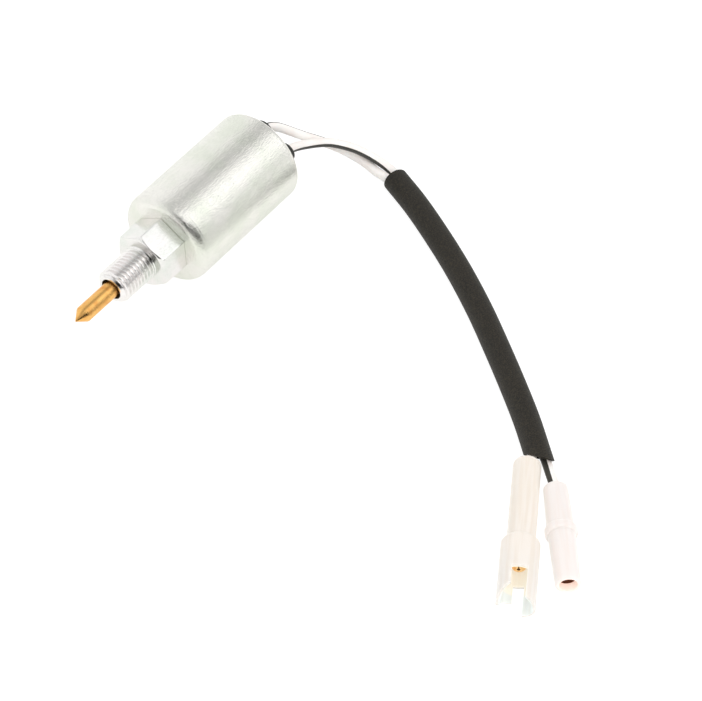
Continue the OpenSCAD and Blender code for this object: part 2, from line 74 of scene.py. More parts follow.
class Value:
    """A shader socket that takes part in Python arithmetic by adding Math nodes."""

    def __init__(self, graph: "Graph", socket: bpy.types.NodeSocket) -> None:
        """Wraps one output socket of a graph."""
        self.graph = graph
        self.socket = socket

    def _math(self, operation: str, *values: "Value | float") -> "Value":
        """Adds one Math node over the given values and returns its result."""
        return self.graph.node("ShaderNodeMath", {"operation": operation}, dict(enumerate(values)))

    def __add__(self, other: "Value | float") -> "Value":
        """Returns self + other."""
        return self._math("ADD", self, other)

    __radd__ = __add__

    def __sub__(self, other: "Value | float") -> "Value":
        """Returns self - other."""
        return self._math("SUBTRACT", self, other)

    def __rsub__(self, other: float) -> "Value":
        """Returns other - self."""
        return self._math("SUBTRACT", other, self)

    def __mul__(self, other: "Value | float") -> "Value":
        """Returns self * other."""
        return self._math("MULTIPLY", self, other)

    __rmul__ = __mul__

    def __truediv__(self, other: "Value | float") -> "Value":
        """Returns self / other."""
        return self._math("DIVIDE", self, other)

    def __pow__(self, other: "Value | float") -> "Value":
        """Returns self raised to other."""
        return self._math("POWER", self, other)

    def sine(self) -> "Value":
        """Returns the sine of self, in radians."""
        return self._math("SINE", self)

    def angle_from(self, other: "Value") -> "Value":
        """Returns the angle whose tangent is self / other, in radians."""
        return self._math("ARCTAN2", self, other)

    def stepped(self, low: float, high: float, start: float = 0.0, end: float = 1.0) -> "Value":
        """Eases self from start at low to end at high.

        Args:
            low: The value at which the result is start.
            high: The value at which the result is end.
            start: The result below low.
            end: The result above high.

        Returns:
            The eased value.
        """
        return self.graph.node(
            "ShaderNodeMapRange",
            {"interpolation_type": "SMOOTHSTEP"},
            {"Value": self, "From Min": low, "From Max": high, "To Min": start, "To Max": end},
        )


class Graph:
    """Builds one node tree from plain calls."""

    def __init__(self, tree: bpy.types.NodeTree) -> None:
        """Empties the tree and keeps it."""
        self.tree = tree
        tree.nodes.clear()

    def node(
        self,
        kind: str,
        settings: dict[str, Any] | None = None,
        inputs: dict[str | int, Any] | None = None,
        output: str | int = 0,
    ) -> Value:
        """Adds a node, sets it and links it.

        Args:
            kind: The node's type.
            settings: Properties of the node, set first; "stops" holds a ramp's stops.
            inputs: A value or link for each named or numbered input socket.
            output: The output socket that is returned.

        Returns:
            The chosen output.
        """
        made = self.tree.nodes.new(kind)
        for name, setting in (settings or {}).items():
            if name == "stops":
                self._set_stops(made.color_ramp, setting)
            else:
                setattr(made, name, setting)
        for name, given in (inputs or {}).items():
            socket = made.inputs[name]
            if isinstance(given, Value):
                self.tree.links.new(given.socket, socket)
            elif isinstance(given, tuple) and len(given) == 3 and socket.type == "RGBA":
                socket.default_value = (*given, 1.0)
            else:
                socket.default_value = given
        return Value(self, made.outputs[output]) if len(made.outputs) else Value(self, None)

    @staticmethod
    def _set_stops(ramp: bpy.types.ColorRamp, stops: Sequence[tuple[float, float]]) -> None:
        """Gives a ramp its grey stops, each a place and a level."""
        while len(ramp.elements) > 1:
            ramp.elements.remove(ramp.elements[-1])
        for index, (place, level) in enumerate(stops):
            element = ramp.elements[0] if index == 0 else ramp.elements.new(place)
            element.position = place
            element.color = (level, level, level, 1.0)

    def mix(self, factor: "Value | float", first: Any, second: Any) -> Value:
        """Returns a colour between first, at factor 0, and second, at factor 1."""
        return self.node(
            "ShaderNodeMix",
            {"data_type": "RGBA"},
            {0: factor, 6: first, 7: second},
            output=2,
        )

    def place(self) -> Value:
        """Returns the point in the row frame, in metres."""
        return self.node("ShaderNodeTexCoord", output="Object")

    def scaled(self, place: Value, size: Point) -> Value:
        """Returns place times size along each axis."""
        return self.node("ShaderNodeVectorMath", {"operation": "MULTIPLY"}, {0: place, 1: size})

    def axes(self, place: Value) -> tuple[Value, Value, Value]:
        """Returns the three parts of a vector."""
        first = self.node("ShaderNodeSeparateXYZ", None, {0: place})
        outputs = first.socket.node.outputs
        return tuple(Value(self, outputs[index]) for index in range(3))

    def noise(self, place: Value, scale: float, detail: float = 2.0, rough: float = 0.5) -> Value:
        """Returns noise from 0 to 1 with features of about 1 / scale metres."""
        return self.node(
            "ShaderNodeTexNoise",
            None,
            {"Vector": place, "Scale": scale, "Detail": detail, "Roughness": rough},
        )

    def cells(self, place: Value, scale: float) -> Value:
        """Returns the distance to the nearest of scattered points, spaced about 1 / scale metres."""
        return self.node("ShaderNodeTexVoronoi", None, {"Vector": place, "Scale": scale})

    def bump(self, height: Value, depth: float, strength: float = 1.0) -> Value:
        """Returns the normal of a surface with this height, depth metres deep."""
        return self.node(
            "ShaderNodeBump", None, {"Height": height, "Distance": depth, "Strength": strength}
        )

    def principled(self, **inputs: Any) -> None:
        """Ends a material in one Principled shader, with underscores for spaces in the names."""
        named = {name.replace("_", " "): given for name, given in inputs.items()}
        shader = self.node("ShaderNodeBsdfPrincipled", None, named)
        self.node("ShaderNodeOutputMaterial", None, {"Surface": shader})


def new_material(name: str) -> tuple[bpy.types.Material, Graph]:
    """Returns an empty node material and its graph."""
    material = bpy.data.materials.new(name)
    material.use_nodes = True
    return material, Graph(material.node_tree)


# The connectors' places, which the leads and the finishes need too


@dataclass(frozen=True)
class ConnectorAxis:
    """Where a connector lies: its rear end's middle, its heading and its axis's height, in mm."""

    at: tuple[float, float]
    turn: float
    height: float

    def point(self, along: float) -> Point:
        """Returns the point this far along the axis."""
        turn = math.radians(self.turn)
        return (
            self.at[0] + along * math.cos(turn),
            self.at[1] + along * math.sin(turn),
            self.height,
        )

    def place(self, piece: bpy.types.Object) -> None:
        """Moves a piece that is drawn from the origin along +X onto the axis."""
        shift = Matrix.Translation(Vector((*self.at, self.height)) * MM)
        piece.data.transform(shift @ Matrix.Rotation(math.radians(self.turn), 4, "Z"))

    def share(self, graph: Graph, place: Value, low: float, high: float) -> Value:
        """Returns 0 before low and 1 past high along the axis, both in metres."""
        along, _, _ = graph.axes(self.local(graph, place))
        return along.stepped(low, high)

    def within(self, graph: Graph, place: Value, radius: float, start: float) -> Value:
        """Returns 1 nearer the axis than radius and past start, both in metres."""
        along, across, upward = graph.axes(self.local(graph, place))
        off_axis = (across ** 2.0 + upward ** 2.0) ** 0.5
        near = off_axis.stepped(radius, radius + 0.0002, 1.0, 0.0)
        return near * along.stepped(start, start + 0.001)

    def local(self, graph: Graph, place: Value) -> Value:
        """Returns a point's place in the connector's own axes."""
        return graph.node(
            "ShaderNodeMapping",
            {"vector_type": "TEXTURE"},
            {
                "Vector": place,
                "Location": tuple(Vector((*self.at, self.height)) * MM),
                "Rotation": (0.0, 0.0, math.radians(self.turn)),
            },
        )


MALE_AXIS = ConnectorAxis((10.96, -115.28), -148.9, FLOOR_Z + 4.9)
FEMALE_AXIS = ConnectorAxis((8.9, -125.1), -139.7, FLOOR_Z + 4.1)


# Finishes


@dataclass(frozen=True)
class Plating:
    """Bright zinc plate: cloudy, finely grained and a little green or warm in places."""

    name: str
    base: Colour
    tint: Colour
    roughness: float
    grain_depth: float
    grain_scale: float = 2600.0

    def material(self) -> bpy.types.Material:
        """Returns the plated metal."""
        material, graph = new_material(self.name)
        place = graph.place()
        clouds = graph.noise(place, 110.0, 3.0)
        drawn = graph.scaled(place, (0.45, 1.0, 1.0))
        grain = graph.noise(drawn, self.grain_scale, 3.0, 0.6)
        coarse = graph.noise(drawn, self.grain_scale * 0.4, 2.0, 0.6)
        pits = graph.cells(place, 900.0).stepped(0.0, 0.16, 1.0, 0.0)
        worn = graph.noise(place, 420.0, 2.0).stepped(0.6, 0.78)
        height = grain + coarse * 0.5 + clouds * 0.6 - pits * worn * 1.5
        colour = graph.mix(clouds.stepped(0.35, 0.7), self.base, self.tint)
        speck = grain.stepped(0.38, 0.70, 0.0, 0.09)
        colour = graph.mix(speck, colour, srgb(150, 148, 138))
        graph.principled(
            Base_Color=graph.mix(pits * worn * 0.35, colour, srgb(120, 118, 108)),
            Metallic=1.0,
            Roughness=grain * 0.10 + clouds * 0.06 + (self.roughness - 0.08),
            Normal=graph.bump(height, self.grain_depth),
        )
        return material


@dataclass(frozen=True)
class TurnedMetal:
    """Turned or ground metal with fine rings round the X axis."""

    name: str
    base: Colour
    stain: Colour
    roughness: float
    ring_pitch: float = 0.00016
    ring_depth: float = 0.0000035

    def material(self) -> bpy.types.Material:
        """Returns the turned metal."""
        material, graph = new_material(self.name)
        place = graph.place()
        along, _, _ = graph.axes(place)
        wander = graph.noise(place, 300.0, 2.0)
        rings = (along * (2 * math.pi / self.ring_pitch) + wander * 3.0).sine()
        stains = graph.noise(place, 520.0, 4.0).stepped(0.42, 0.86)
        fine = graph.noise(place, 5200.0, 2.0)
        graph.principled(
            Base_Color=graph.mix(stains, self.base, self.stain),
            Metallic=1.0,
            Roughness=stains * 0.12 + fine * 0.06 + self.roughness,
            Normal=graph.bump(rings + fine * 1.2, self.ring_depth),
        )
        return material


@dataclass(frozen=True)
class RolledMetal:
    """Stamped sheet metal, such as a terminal or a spring."""

    name: str
    base: Colour
    stain: Colour
    roughness: float
    # The axis and the bore's radius mark where shade is painted inside a socket.
    axis: ConnectorAxis | None = None
    bore: float = 0.0

    def material(self) -> bpy.types.Material:
        """Returns the rolled metal, with painted shade inside its bore when it has one."""
        material, graph = new_material(self.name)
        place = graph.place()
        stains = graph.noise(place, 700.0, 4.0).stepped(0.4, 0.75)
        fine = graph.noise(graph.scaled(place, (1.0, 1.0, 3.0)), 3800.0, 2.0)
        colour = graph.mix(stains, self.base, self.stain)
        # Painted shade: inside the bore the colour turns dark brown, where the socket lies in shade.
        if self.axis:
            inside = self.axis.within(graph, place, self.bore, 0.0)
            colour = graph.mix(inside, colour, srgb(98, 58, 44))
        graph.principled(
            Base_Color=colour,
            Metallic=1.0,
            Roughness=fine * 0.1 + stains * 0.1 + self.roughness,
            Normal=graph.bump(fine, 0.000004),
        )
        return material


@dataclass(frozen=True)
class Nylon:
    """Natural nylon: lets light in, with a waxy skin and faint flow marks; it also glows with painted
    light, which changes towards its tip and inside its hollow.
    """

    name: str
    base: Colour
    deep: Colour
    # Painted glow colours: outside, towards the tip, inside the hollow and at its mouth.
    spread: Colour
    painted_glow: Colour
    painted_tip_glow: Colour
    painted_inner_glow: Colour
    painted_mouth_glow: Colour
    axis: ConnectorAxis
    hollow: Point
    scatter: float = 0.6

    def material(self) -> bpy.types.Material:
        """Returns the moulded nylon with its painted glow."""
        material, graph = new_material(self.name)
        place = graph.place()
        flow = graph.noise(place, 130.0, 3.0)
        specks = graph.cells(place, 1500.0).stepped(0.0, 0.12, 1.0, 0.0)
        skin = graph.noise(place, 2400.0, 3.0)
        drawn = graph.scaled(self.axis.local(graph, place), (0.06, 1.0, 1.0))
        streaks = graph.noise(drawn, 900.0, 2.0).stepped(0.38, 0.62)
        colour = graph.mix(streaks, self.base, self.deep)
        # Painted light: the glow changes towards the tip, and the hollow and its mouth get their own
        # painted glow, the hollow a brighter one.
        radius, start, mouth = self.hollow
        ahead = self.axis.share(graph, place, start * 0.7, start * 1.6)
        outer = graph.mix(ahead, self.painted_glow, self.painted_tip_glow)
        inside = self.axis.within(graph, place, radius, start)
        at_mouth = self.axis.share(graph, place, mouth, mouth + 0.001)
        inner = graph.mix(at_mouth, self.painted_inner_glow, self.painted_mouth_glow)
        graph.principled(
            Base_Color=graph.mix(specks * 0.12, colour, self.deep),
            Roughness=skin * 0.14 + 0.30,
            Normal=graph.bump(skin + flow * 2.0, 0.000010),
            Subsurface_Weight=self.scatter,
            Subsurface_Radius=self.spread,
            Subsurface_Scale=0.0025,
            # Painted glow: the nylon emits light though it is no lamp.
            Emission_Color=graph.mix(inside, outer, inner),
            Emission_Strength=1.0,
            IOR=1.5,
        )
        return material


@dataclass(frozen=True)
class MouldedSkin:
    """Opaque moulded plastic or rubber with a fine matt skin."""

    name: str
    base: Colour
    worn: Colour
    roughness: float
    skin_scale: float = 2200.0
    skin_depth: float = 0.000012

    def material(self) -> bpy.types.Material:
        """Returns the moulded skin."""
        material, graph = new_material(self.name)
        place = graph.place()
        clouds = graph.noise(place, 240.0, 3.0)
        skin = graph.noise(place, self.skin_scale, 3.0, 0.6)
        graph.principled(
            Base_Color=graph.mix(clouds.stepped(0.4, 0.75), self.base, self.worn),
            Roughness=skin * 0.16 + (self.roughness - 0.08),
            Normal=graph.bump(skin + clouds, self.skin_depth),
        )
        return material


@dataclass(frozen=True)
class LeadCover:
    """White lead insulation with a broad black stripe along it."""

    name: str
    base: Colour
    warm: Colour
    stripe: Colour
    stripe_share: float = 0.37

    def material(self) -> bpy.types.Material:
        """Returns the striped cover; the stripe follows the tube's own stripe attribute."""
        material, graph = new_material(self.name)
        place = graph.place()
        facing = graph.node(
            "ShaderNodeAttribute",
            {"attribute_name": "stripe", "attribute_type": "GEOMETRY"},
            output="Fac",
        )
        edge = math.cos(math.pi * self.stripe_share)
        ragged = graph.noise(place, 1900.0, 2.0) * 0.05 - 0.025
        mask = (facing + ragged).stepped(edge - 0.03, edge + 0.03)
        clouds = graph.noise(place, 260.0, 3.0)
        skin = graph.noise(place, 2600.0, 2.0)
        white = graph.mix(clouds.stepped(0.35, 0.7), self.base, self.warm)
        graph.principled(
            Base_Color=graph.mix(mask, white, self.stripe),
            Roughness=skin * 0.12 + clouds * 0.06 + 0.28,
            Normal=graph.bump(skin + mask * 0.8, 0.000009),
            Subsurface_Weight=0.08,
            Subsurface_Radius=(1.0, 0.8, 0.7),
            Subsurface_Scale=0.0008,
        )
        return material


@dataclass(frozen=True)
class BraidedSleeve:
    """Matt black varnished sleeving with a fine braid under its skin."""

    name: str
    base: Colour
    dusty: Colour
    braid_pitch: float = 0.00062

    def material(self) -> bpy.types.Material:
        """Returns the sleeve; the braid follows the tube's own run map."""
        material, graph = new_material(self.name)
        place = graph.place()
        run = graph.node("ShaderNodeUVMap", {"uv_map": "run"})
        along, around, _ = graph.axes(run)
        turn = 2 * math.pi / self.braid_pitch
        wander = graph.noise(place, 900.0, 2.0) * 1.6
        left = ((along + around) * turn + wander).sine()
        right = ((along - around) * turn + wander).sine()
        braid = left * right
        skin = graph.noise(place, 3000.0, 4.0, 0.65)
        dust = graph.noise(place, 2600.0, 3.0, 0.7).stepped(0.42, 0.62)
        clouds = graph.noise(place, 90.0, 2.0)
        level = dust * 0.5 + braid * 0.34 + clouds * 0.16
        graph.principled(
            Base_Color=graph.mix(level, self.base, self.dusty),
            Roughness=skin * 0.2 + 0.52,
            Normal=graph.bump(braid * 0.6 + skin * 1.4, 0.000040),
            Specular_IOR_Level=0.4,
        )
        return material


class Finish(Enum):
    """Every finish on the part, by the piece or material it stands for."""

    CAN_PLATE = Plating(
        "can_plate", srgb(239, 238, 232), srgb(229, 232, 221), 0.18, 0.00011, 3000.0
    )
    BODY_PLATE = Plating(
        "body_plate", srgb(243, 240, 239), srgb(230, 233, 228), 0.22, 0.00002, 3000.0
    )
    NEEDLE_BRASS = TurnedMetal(
        "needle_brass", srgb(243, 190, 112), srgb(222, 152, 78), 0.24
    )
    GUIDE_BRASS = TurnedMetal("guide_brass", srgb(214, 178, 108), srgb(190, 150, 84), 0.25)
    POLE_STEEL = TurnedMetal("pole_steel", srgb(176, 178, 180), srgb(150, 150, 148), 0.34)
    CORE_STEEL = TurnedMetal("core_steel", srgb(190, 192, 194), srgb(166, 166, 164), 0.26)
    SPRING_STEEL = RolledMetal("spring_steel", srgb(200, 202, 204), srgb(160, 158, 152), 0.24)
    TERMINAL_BRASS = RolledMetal("terminal_brass", srgb(250, 208, 148), srgb(232, 172, 108), 0.26)
    # The socket's bore, 2.15 mm round its axis, gets painted shade.
    SOCKET_BRASS = RolledMetal(
        "socket_brass", srgb(240, 196, 136), srgb(222, 160, 98), 0.3, FEMALE_AXIS, 0.00215
    )
    TINNED_COPPER = RolledMetal("tinned_copper", srgb(206, 200, 188), srgb(176, 160, 132), 0.34)
    WINDING = RolledMetal("winding_copper", srgb(200, 118, 66), srgb(164, 84, 42), 0.3)
    # The four colours after each nylon's scatter radius are painted glow: outside, towards the tip,
    # inside the hollow and at its mouth.
    NYLON_CREAM = Nylon(
        "nylon_cream", srgb(198, 189, 181), srgb(193, 181, 169), (1.0, 0.92, 0.84),
        (0.34, 0.335, 0.31), (0.27, 0.30, 0.31), (0.43, 0.44, 0.38), (0.28, 0.38, 0.41),
        MALE_AXIS, (0.0042, 0.026, 0.0385)
    )
    NYLON_PALE = Nylon(
        "nylon_pale", srgb(199, 188, 185), srgb(197, 183, 178), (1.0, 0.92, 0.86),
        (0.33, 0.35, 0.34), (0.33, 0.365, 0.36), (0.56, 0.42, 0.35), (0.56, 0.44, 0.38),
        FEMALE_AXIS, (0.0027, 0.0265, 0.030)
    )
    PLUG_RUBBER = MouldedSkin("plug_rubber", srgb(38, 38, 35), srgb(56, 56, 52), 0.6)
    BOBBIN_PLASTIC = MouldedSkin("bobbin_plastic", srgb(52, 52, 54), srgb(68, 68, 70), 0.45)
    COIL_TAPE = MouldedSkin("coil_tape", srgb(214, 192, 120), srgb(196, 170, 96), 0.4, 1200.0)
    SEAL_RUBBER = MouldedSkin("seal_rubber", srgb(28, 28, 28), srgb(44, 44, 44), 0.5)
    LEAD_COVER = LeadCover(
        "lead_cover", srgb(252, 249, 245), srgb(249, 241, 236), srgb(52, 50, 45)
    )
    SLEEVE_BLACK = BraidedSleeve("sleeve_black", srgb(9, 8, 5), srgb(62, 55, 41))


class Paints:
    """Makes each finish's material once and hands it out."""

    def __init__(self) -> None:
        """Starts with no material made."""
        self._made: dict[Finish, bpy.types.Material] = {}

    def dress(self, piece: bpy.types.Object, finish: Finish) -> None:
        """Gives a piece one finish all over."""
        if finish not in self._made:
            self._made[finish] = finish.value.material()
        piece.data.materials.clear()
        piece.data.materials.append(self._made[finish])


# Mesh building


@dataclass(frozen=True)
class Corner:
    """A corner of a turned outline, in mm: place along the axis, radius, and its rounding."""

    x: float
    r: float
    fillet: float = 0.0


def rounded(corners: Sequence[Corner], steps: int = 6) -> list[tuple[float, float]]:
    """Rounds the corners of a closed outline.

    Args:
        corners: The outline's corners in order.
        steps: Straight pieces in each rounding.

    Returns:
        The outline's points, as place along the axis and radius.
    """
    points: list[tuple[float, float]] = []
    count = len(corners)
    for index, corner in enumerate(corners):
        here = Vector((corner.x, corner.r))
        if corner.fillet <= 0:
            points.append((here.x, here.y))
            continue
        before = corners[index - 1]
        after = corners[(index + 1) % count]
        back = (Vector((before.x, before.r)) - here).normalized()
        ahead = (Vector((after.x, after.r)) - here).normalized()
        half = back.angle(ahead) / 2
        run = corner.fillet / math.tan(half)
        centre = here + (back + ahead).normalized() * corner.fillet / math.sin(half)
        first = here + back * run - centre
        last = here + ahead * run - centre
        turn = first.angle_signed(last)
        for step in range(steps + 1):
            spoke = first.copy()
            spoke.rotate(Matrix.Rotation(-turn * step / steps, 2))
            points.append((centre.x + spoke.x, centre.y + spoke.y))
    return points


def grid_faces(rows: int, columns: int, close_rows: bool) -> list[tuple[int, ...]]:
    """Returns the quads of a grid whose columns close, and whose rows close if asked."""
    faces = []
    for row in range(rows if close_rows else rows - 1):
        upper = (row + 1) % rows * columns
        lower = row * columns
        for column in range(columns):
            beside = (column + 1) % columns
            faces.append((lower + column, lower + beside, upper + beside, upper + column))
    return faces


def new_piece(
    name: str,
    points: Iterable[Sequence[float]],
    faces: Sequence[Sequence[int]],
    sharp: float = SHARP_ANGLE,
) -> bpy.types.Object:
    """Makes a piece from points in mm, shaded smooth between its sharp edges.

    Args:
        name: The piece's name.
        points: Its points, in mm.
        faces: The points of each face.
        sharp: Edges at a larger angle than this stay sharp.

    Returns:
        The new object, at the frame's origin.
    """
    mesh = bpy.data.meshes.new(name)
    mesh.from_pydata([Vector(point) * MM for point in points], [], faces)
    mesh.validate()
    mesh.shade_smooth()
    mesh.set_sharp_from_angle(angle=sharp)
    piece = bpy.data.objects.new(name, mesh)
    bpy.context.scene.collection.objects.link(piece)
    return piece


def ring(x: float, radii: Sequence[float], angles: Sequence[float]) -> list[Point]:
    """Returns the points of one ring round the X axis, with its own radius at each angle."""
    return [(x, r * math.cos(a), r * math.sin(a)) for r, a in zip(radii, angles)]


def turned(
    outline: Sequence[tuple[float, float]], segments: int = 160, at: tuple[float, float] = (0, 0)
) -> tuple[list[Point], list[tuple[int, ...]]]:
    """Turns a closed outline round the X axis.

    Args:
        outline: Points along the axis and their radii, which run with the solid on their right.
        segments: Faces round the axis.
        at: The axis's place in Y and Z.

    Returns:
        The points and the faces of the turned solid.
    """
    angles = [2 * math.pi * step / segments for step in range(segments)]
    points: list[Point] = []
    for x, r in outline:
        points += [(x, y + at[0], z + at[1]) for x, y, z in ring(x, [r] * segments, angles)]
    return points, grid_faces(len(outline), segments, True)


def joined(parts: Sequence[tuple[list[Point], list[tuple[int, ...]]]]) -> tuple[list, list]:
    """Puts several closed shells into one list of points and faces."""
    points: list[Point] = []
    faces: list[tuple[int, ...]] = []
    for part_points, part_faces in parts:
        first = len(points)
        points += part_points
        faces += [tuple(index + first for index in face) for face in part_faces]
    return points, faces


def smooth_route(route: Sequence[Point], spacing: float) -> list[Vector]:
    """Runs one smooth curve through a route's points.

    Args:
        route: The points, in mm.
        spacing: Distance between the points of the result, in mm.

    Returns:
        Points along the curve, evenly spaced.
    """
    given = [Vector(point) for point in route]
    knots = [2 * given[0] - given[1], *given, 2 * given[-1] - given[-2]]
    fine: list[Vector] = []
    for p0, p1, p2, p3 in zip(knots, knots[1:], knots[2:], knots[3:]):
        t1 = math.sqrt((p1 - p0).length)
        t2 = t1 + math.sqrt((p2 - p1).length)
        t3 = t2 + math.sqrt((p3 - p2).length)
        for step in range(16):
            t = t1 + (t2 - t1) * step / 16
            a1 = p0.lerp(p1, t / t1)
            a2 = p1.lerp(p2, (t - t1) / (t2 - t1))
            a3 = p2.lerp(p3, (t - t2) / (t3 - t2))
            b1 = a1.lerp(a2, t / t2)
            b2 = a2.lerp(a3, (t - t1) / (t3 - t1))
            fine.append(b1.lerp(b2, (t - t1) / (t2 - t1)))
    fine.append(given[-1])
    return evenly_spaced(fine, spacing)


def evenly_spaced(line: Sequence[Vector], spacing: float) -> list[Vector]:
    """Returns points along a line at about this spacing, with both its ends."""
    lengths = [0.0]
    for first, second in zip(line, line[1:]):
        lengths.append(lengths[-1] + (second - first).length)
    count = max(2, round(lengths[-1] / spacing))
    out: list[Vector] = []
    index = 0
    for step in range(count + 1):
        wanted = lengths[-1] * step / count
        while index < len(lengths) - 2 and lengths[index + 1] < wanted:
            index += 1
        share = (wanted - lengths[index]) / max(lengths[index + 1] - lengths[index], 1e-9)
        out.append(line[index].lerp(line[index + 1], min(1.0, max(0.0, share))))
    return out


def length_of(line: Sequence[Vector]) -> float:
    """Returns the length of a line of points."""
    return sum((second - first).length for first, second in zip(line, line[1:]))


@dataclass
class Sweep:
    """A round tube along a line, with a frame at each ring."""

    line: list[Vector]
    radius: float
    sides: int = 24

    def frames(self) -> list[tuple[Vector, Vector, Vector]]:
        """Returns the heading, the sideways and the upward direction at each ring."""
        out = []
        last = len(self.line) - 1
        for index in range(last + 1):
            ahead = self.line[min(index + 1, last)] - self.line[max(index - 1, 0)]
            ahead.normalize()
            side = ahead.cross(Vector((0, 0, 1))).normalized()
            out.append((ahead, side, side.cross(ahead)))
        return out

    def skin(
        self, radius: float, shift: Callable[[int, float], float] | None = None
    ) -> list[Point]:
        """Returns the rings of one skin; shift moves a point along the line, in mm."""
        points: list[Point] = []
        for index, (ahead, side, up) in enumerate(self.frames()):
            for k in range(self.sides):
                angle = 2 * math.pi * k / self.sides
                moved = shift(index, angle) if shift else 0.0
                point = self.line[index] + ahead * moved
                point = point + side * (radius * math.cos(angle)) + up * (radius * math.sin(angle))
                points.append(tuple(point))
        return points


# The camera and the light


@dataclass(frozen=True)
class Studio:
    """The photograph's camera over a plain pale floor, in mm."""

    camera_at: Point = (-398.7, -368.6, 568.9)
    look_at: Point = (17.79, -55.04, -13.5)
    lens: float = 154.3
    floor_size: float = 3.0
    key_energy: float = 3.2
    fill_energy: float = 0.9

    def build_camera(self) -> None:
        """Places the camera at the photograph's angle, distance and field of view."""
        data = bpy.data.cameras.new("camera")
        data.lens = self.lens
        data.sensor_width = 36.0
        data.clip_start = 0.05
        data.clip_end = 20.0
        camera = bpy.data.objects.new("camera", data)
        camera.location = Vector(self.camera_at) * MM
        view = Vector(self.look_at) - Vector(self.camera_at)
        camera.rotation_euler = view.to_track_quat("-Z", "Y").to_euler()
        bpy.context.scene.collection.objects.link(camera)
        bpy.context.scene.camera = camera

    def build_floor(self) -> None:
        """Lays the pale floor that the part lies on; it keeps the part's soft shadow."""
        half = self.floor_size / 2
        corners = [(-half, -half), (half, -half), (half, half), (-half, half)]
        mesh = bpy.data.meshes.new("floor")
        mesh.from_pydata([(x, y, FLOOR_Z * MM) for x, y in corners], [], [(0, 1, 2, 3)])
        floor = bpy.data.objects.new("floor", mesh)
        bpy.context.scene.collection.objects.link(floor)
        material, graph = new_material("floor_paper")
        rays = graph.node("ShaderNodeLightPath").socket.node.outputs
        seen = Value(graph, rays["Is Camera Ray"]) + Value(graph, rays["Is Transmission Ray"])
        paper = graph.node("ShaderNodeBsdfDiffuse", None, {"Color": (0.84, 0.84, 0.84)})
        lifted = graph.node("ShaderNodeEmission", None, {"Color": (1, 1, 1), "Strength": 0.87})
        paler = graph.node("ShaderNodeBsdfDiffuse", None, {"Color": (0.32, 0.32, 0.32)})
        bright = graph.node("ShaderNodeAddShader", None, {0: lifted, 1: paler})
        sheen = graph.node("ShaderNodeEmission", None, {"Color": (1, 1, 0.96), "Strength": 0.43})
        dimmer = graph.node("ShaderNodeBsdfDiffuse", None, {"Color": (0.66, 0.66, 0.66)})
        mirrored = graph.node("ShaderNodeAddShader", None, {0: sheen, 1: dimmer})
        glossy = Value(graph, rays["Is Glossy Ray"])
        unseen = graph.node("ShaderNodeMixShader", None, {0: glossy, 1: paper, 2: mirrored})
        surface = graph.node(
            "ShaderNodeMixShader", None, {0: seen.stepped(0.0, 1.0), 1: unseen, 2: bright}
        )
        graph.node("ShaderNodeOutputMaterial", None, {"Surface": surface})
        mesh.materials.append(material)

    def build_world(self) -> None:
        """Surrounds the part with pale panels, which only the metal's reflections tell apart."""
        world = bpy.data.worlds.new("pale_panels")
        world.use_nodes = True
        bpy.context.scene.world = world
        graph = Graph(world.node_tree)
        direction = graph.node("ShaderNodeTexCoord", output="Generated")
        along, across, upward = graph.axes(direction)
        height = upward.angle_from(across * -1.0) * (1 / math.pi)
        panels = graph.node(
            "ShaderNodeValToRGB",
            {
                "stops": [
                    (0.0, 0.94), (0.03, 0.82), (0.06, 0.76), (0.12, 0.95), (0.17, 1.34), (0.29, 1.34),
                    (0.33, 1.60), (0.37, 1.22), (0.45, 0.92), (0.50, 0.62), (0.545, 0.34),
                    (0.58, 0.50), (0.63, 0.80), (0.68, 0.96), (0.76, 1.05), (1.0, 1.06),
                ]
            },
            {0: height},
        )
        past_rear = along.stepped(0.58, 0.95, 1.0, 0.72)
        over = height - along.stepped(-0.95, -0.45, 0.52, 0.22)
        edge = over.stepped(-0.02, 0.05, 1.0, 0.0) * along.stepped(0.18, 0.42, 1.0, 0.0)
        lens = 1.0 - edge
        panels = graph.mix(past_rear * lens, (0.0, 0.0, 0.0), panels)
        rays = graph.node("ShaderNodeLightPath").socket.node.outputs
        glossy = Value(graph, rays["Is Glossy Ray"])
        soft = graph.node("ShaderNodeBackground", None, {"Color": (1, 1, 1), "Strength": 0.72})
        shaped = graph.node("ShaderNodeBackground", None, {"Color": panels, "Strength": 1.0})
        white = graph.node("ShaderNodeBackground", None, {"Color": (1, 1, 1), "Strength": 1.0})
        seen = Value(graph, rays["Is Camera Ray"]) + Value(graph, rays["Is Transmission Ray"])
        unseen = graph.node("ShaderNodeMixShader", None, {0: glossy, 1: soft, 2: shaped})
        surface = graph.node(
            "ShaderNodeMixShader", None, {0: seen.stepped(0.0, 1.0), 1: unseen, 2: white}
        )
        graph.node("ShaderNodeOutputWorld", None, {"Surface": surface})

    def build_lamp(self, name: str, at: Point, size: float, energy: float) -> None:
        """Adds one large soft lamp that faces the part and stays out of its reflections."""
        data = bpy.data.lights.new(name, "AREA")
        data.shape = "SQUARE"
        data.size = size
        data.energy = energy
        lamp = bpy.data.objects.new(name, data)
        lamp.location = Vector(at) * MM
        aim = Vector(self.look_at) - Vector(at)
        lamp.rotation_euler = aim.to_track_quat("-Z", "Y").to_euler()
        lamp.visible_glossy = False
        bpy.context.scene.collection.objects.link(lamp)

    def build(self) -> None:
        """Builds the camera, the floor and the light."""
        self.build_camera()
        self.build_floor()
        self.build_world()
        self.build_lamp("key_lamp", (-250.0, -520.0, 620.0), 0.55, self.key_energy)
        self.build_lamp("fill_lamp", (320.0, 420.0, 560.0), 0.7, self.fill_energy)
        log.info("studio: camera, floor, world and two lamps")
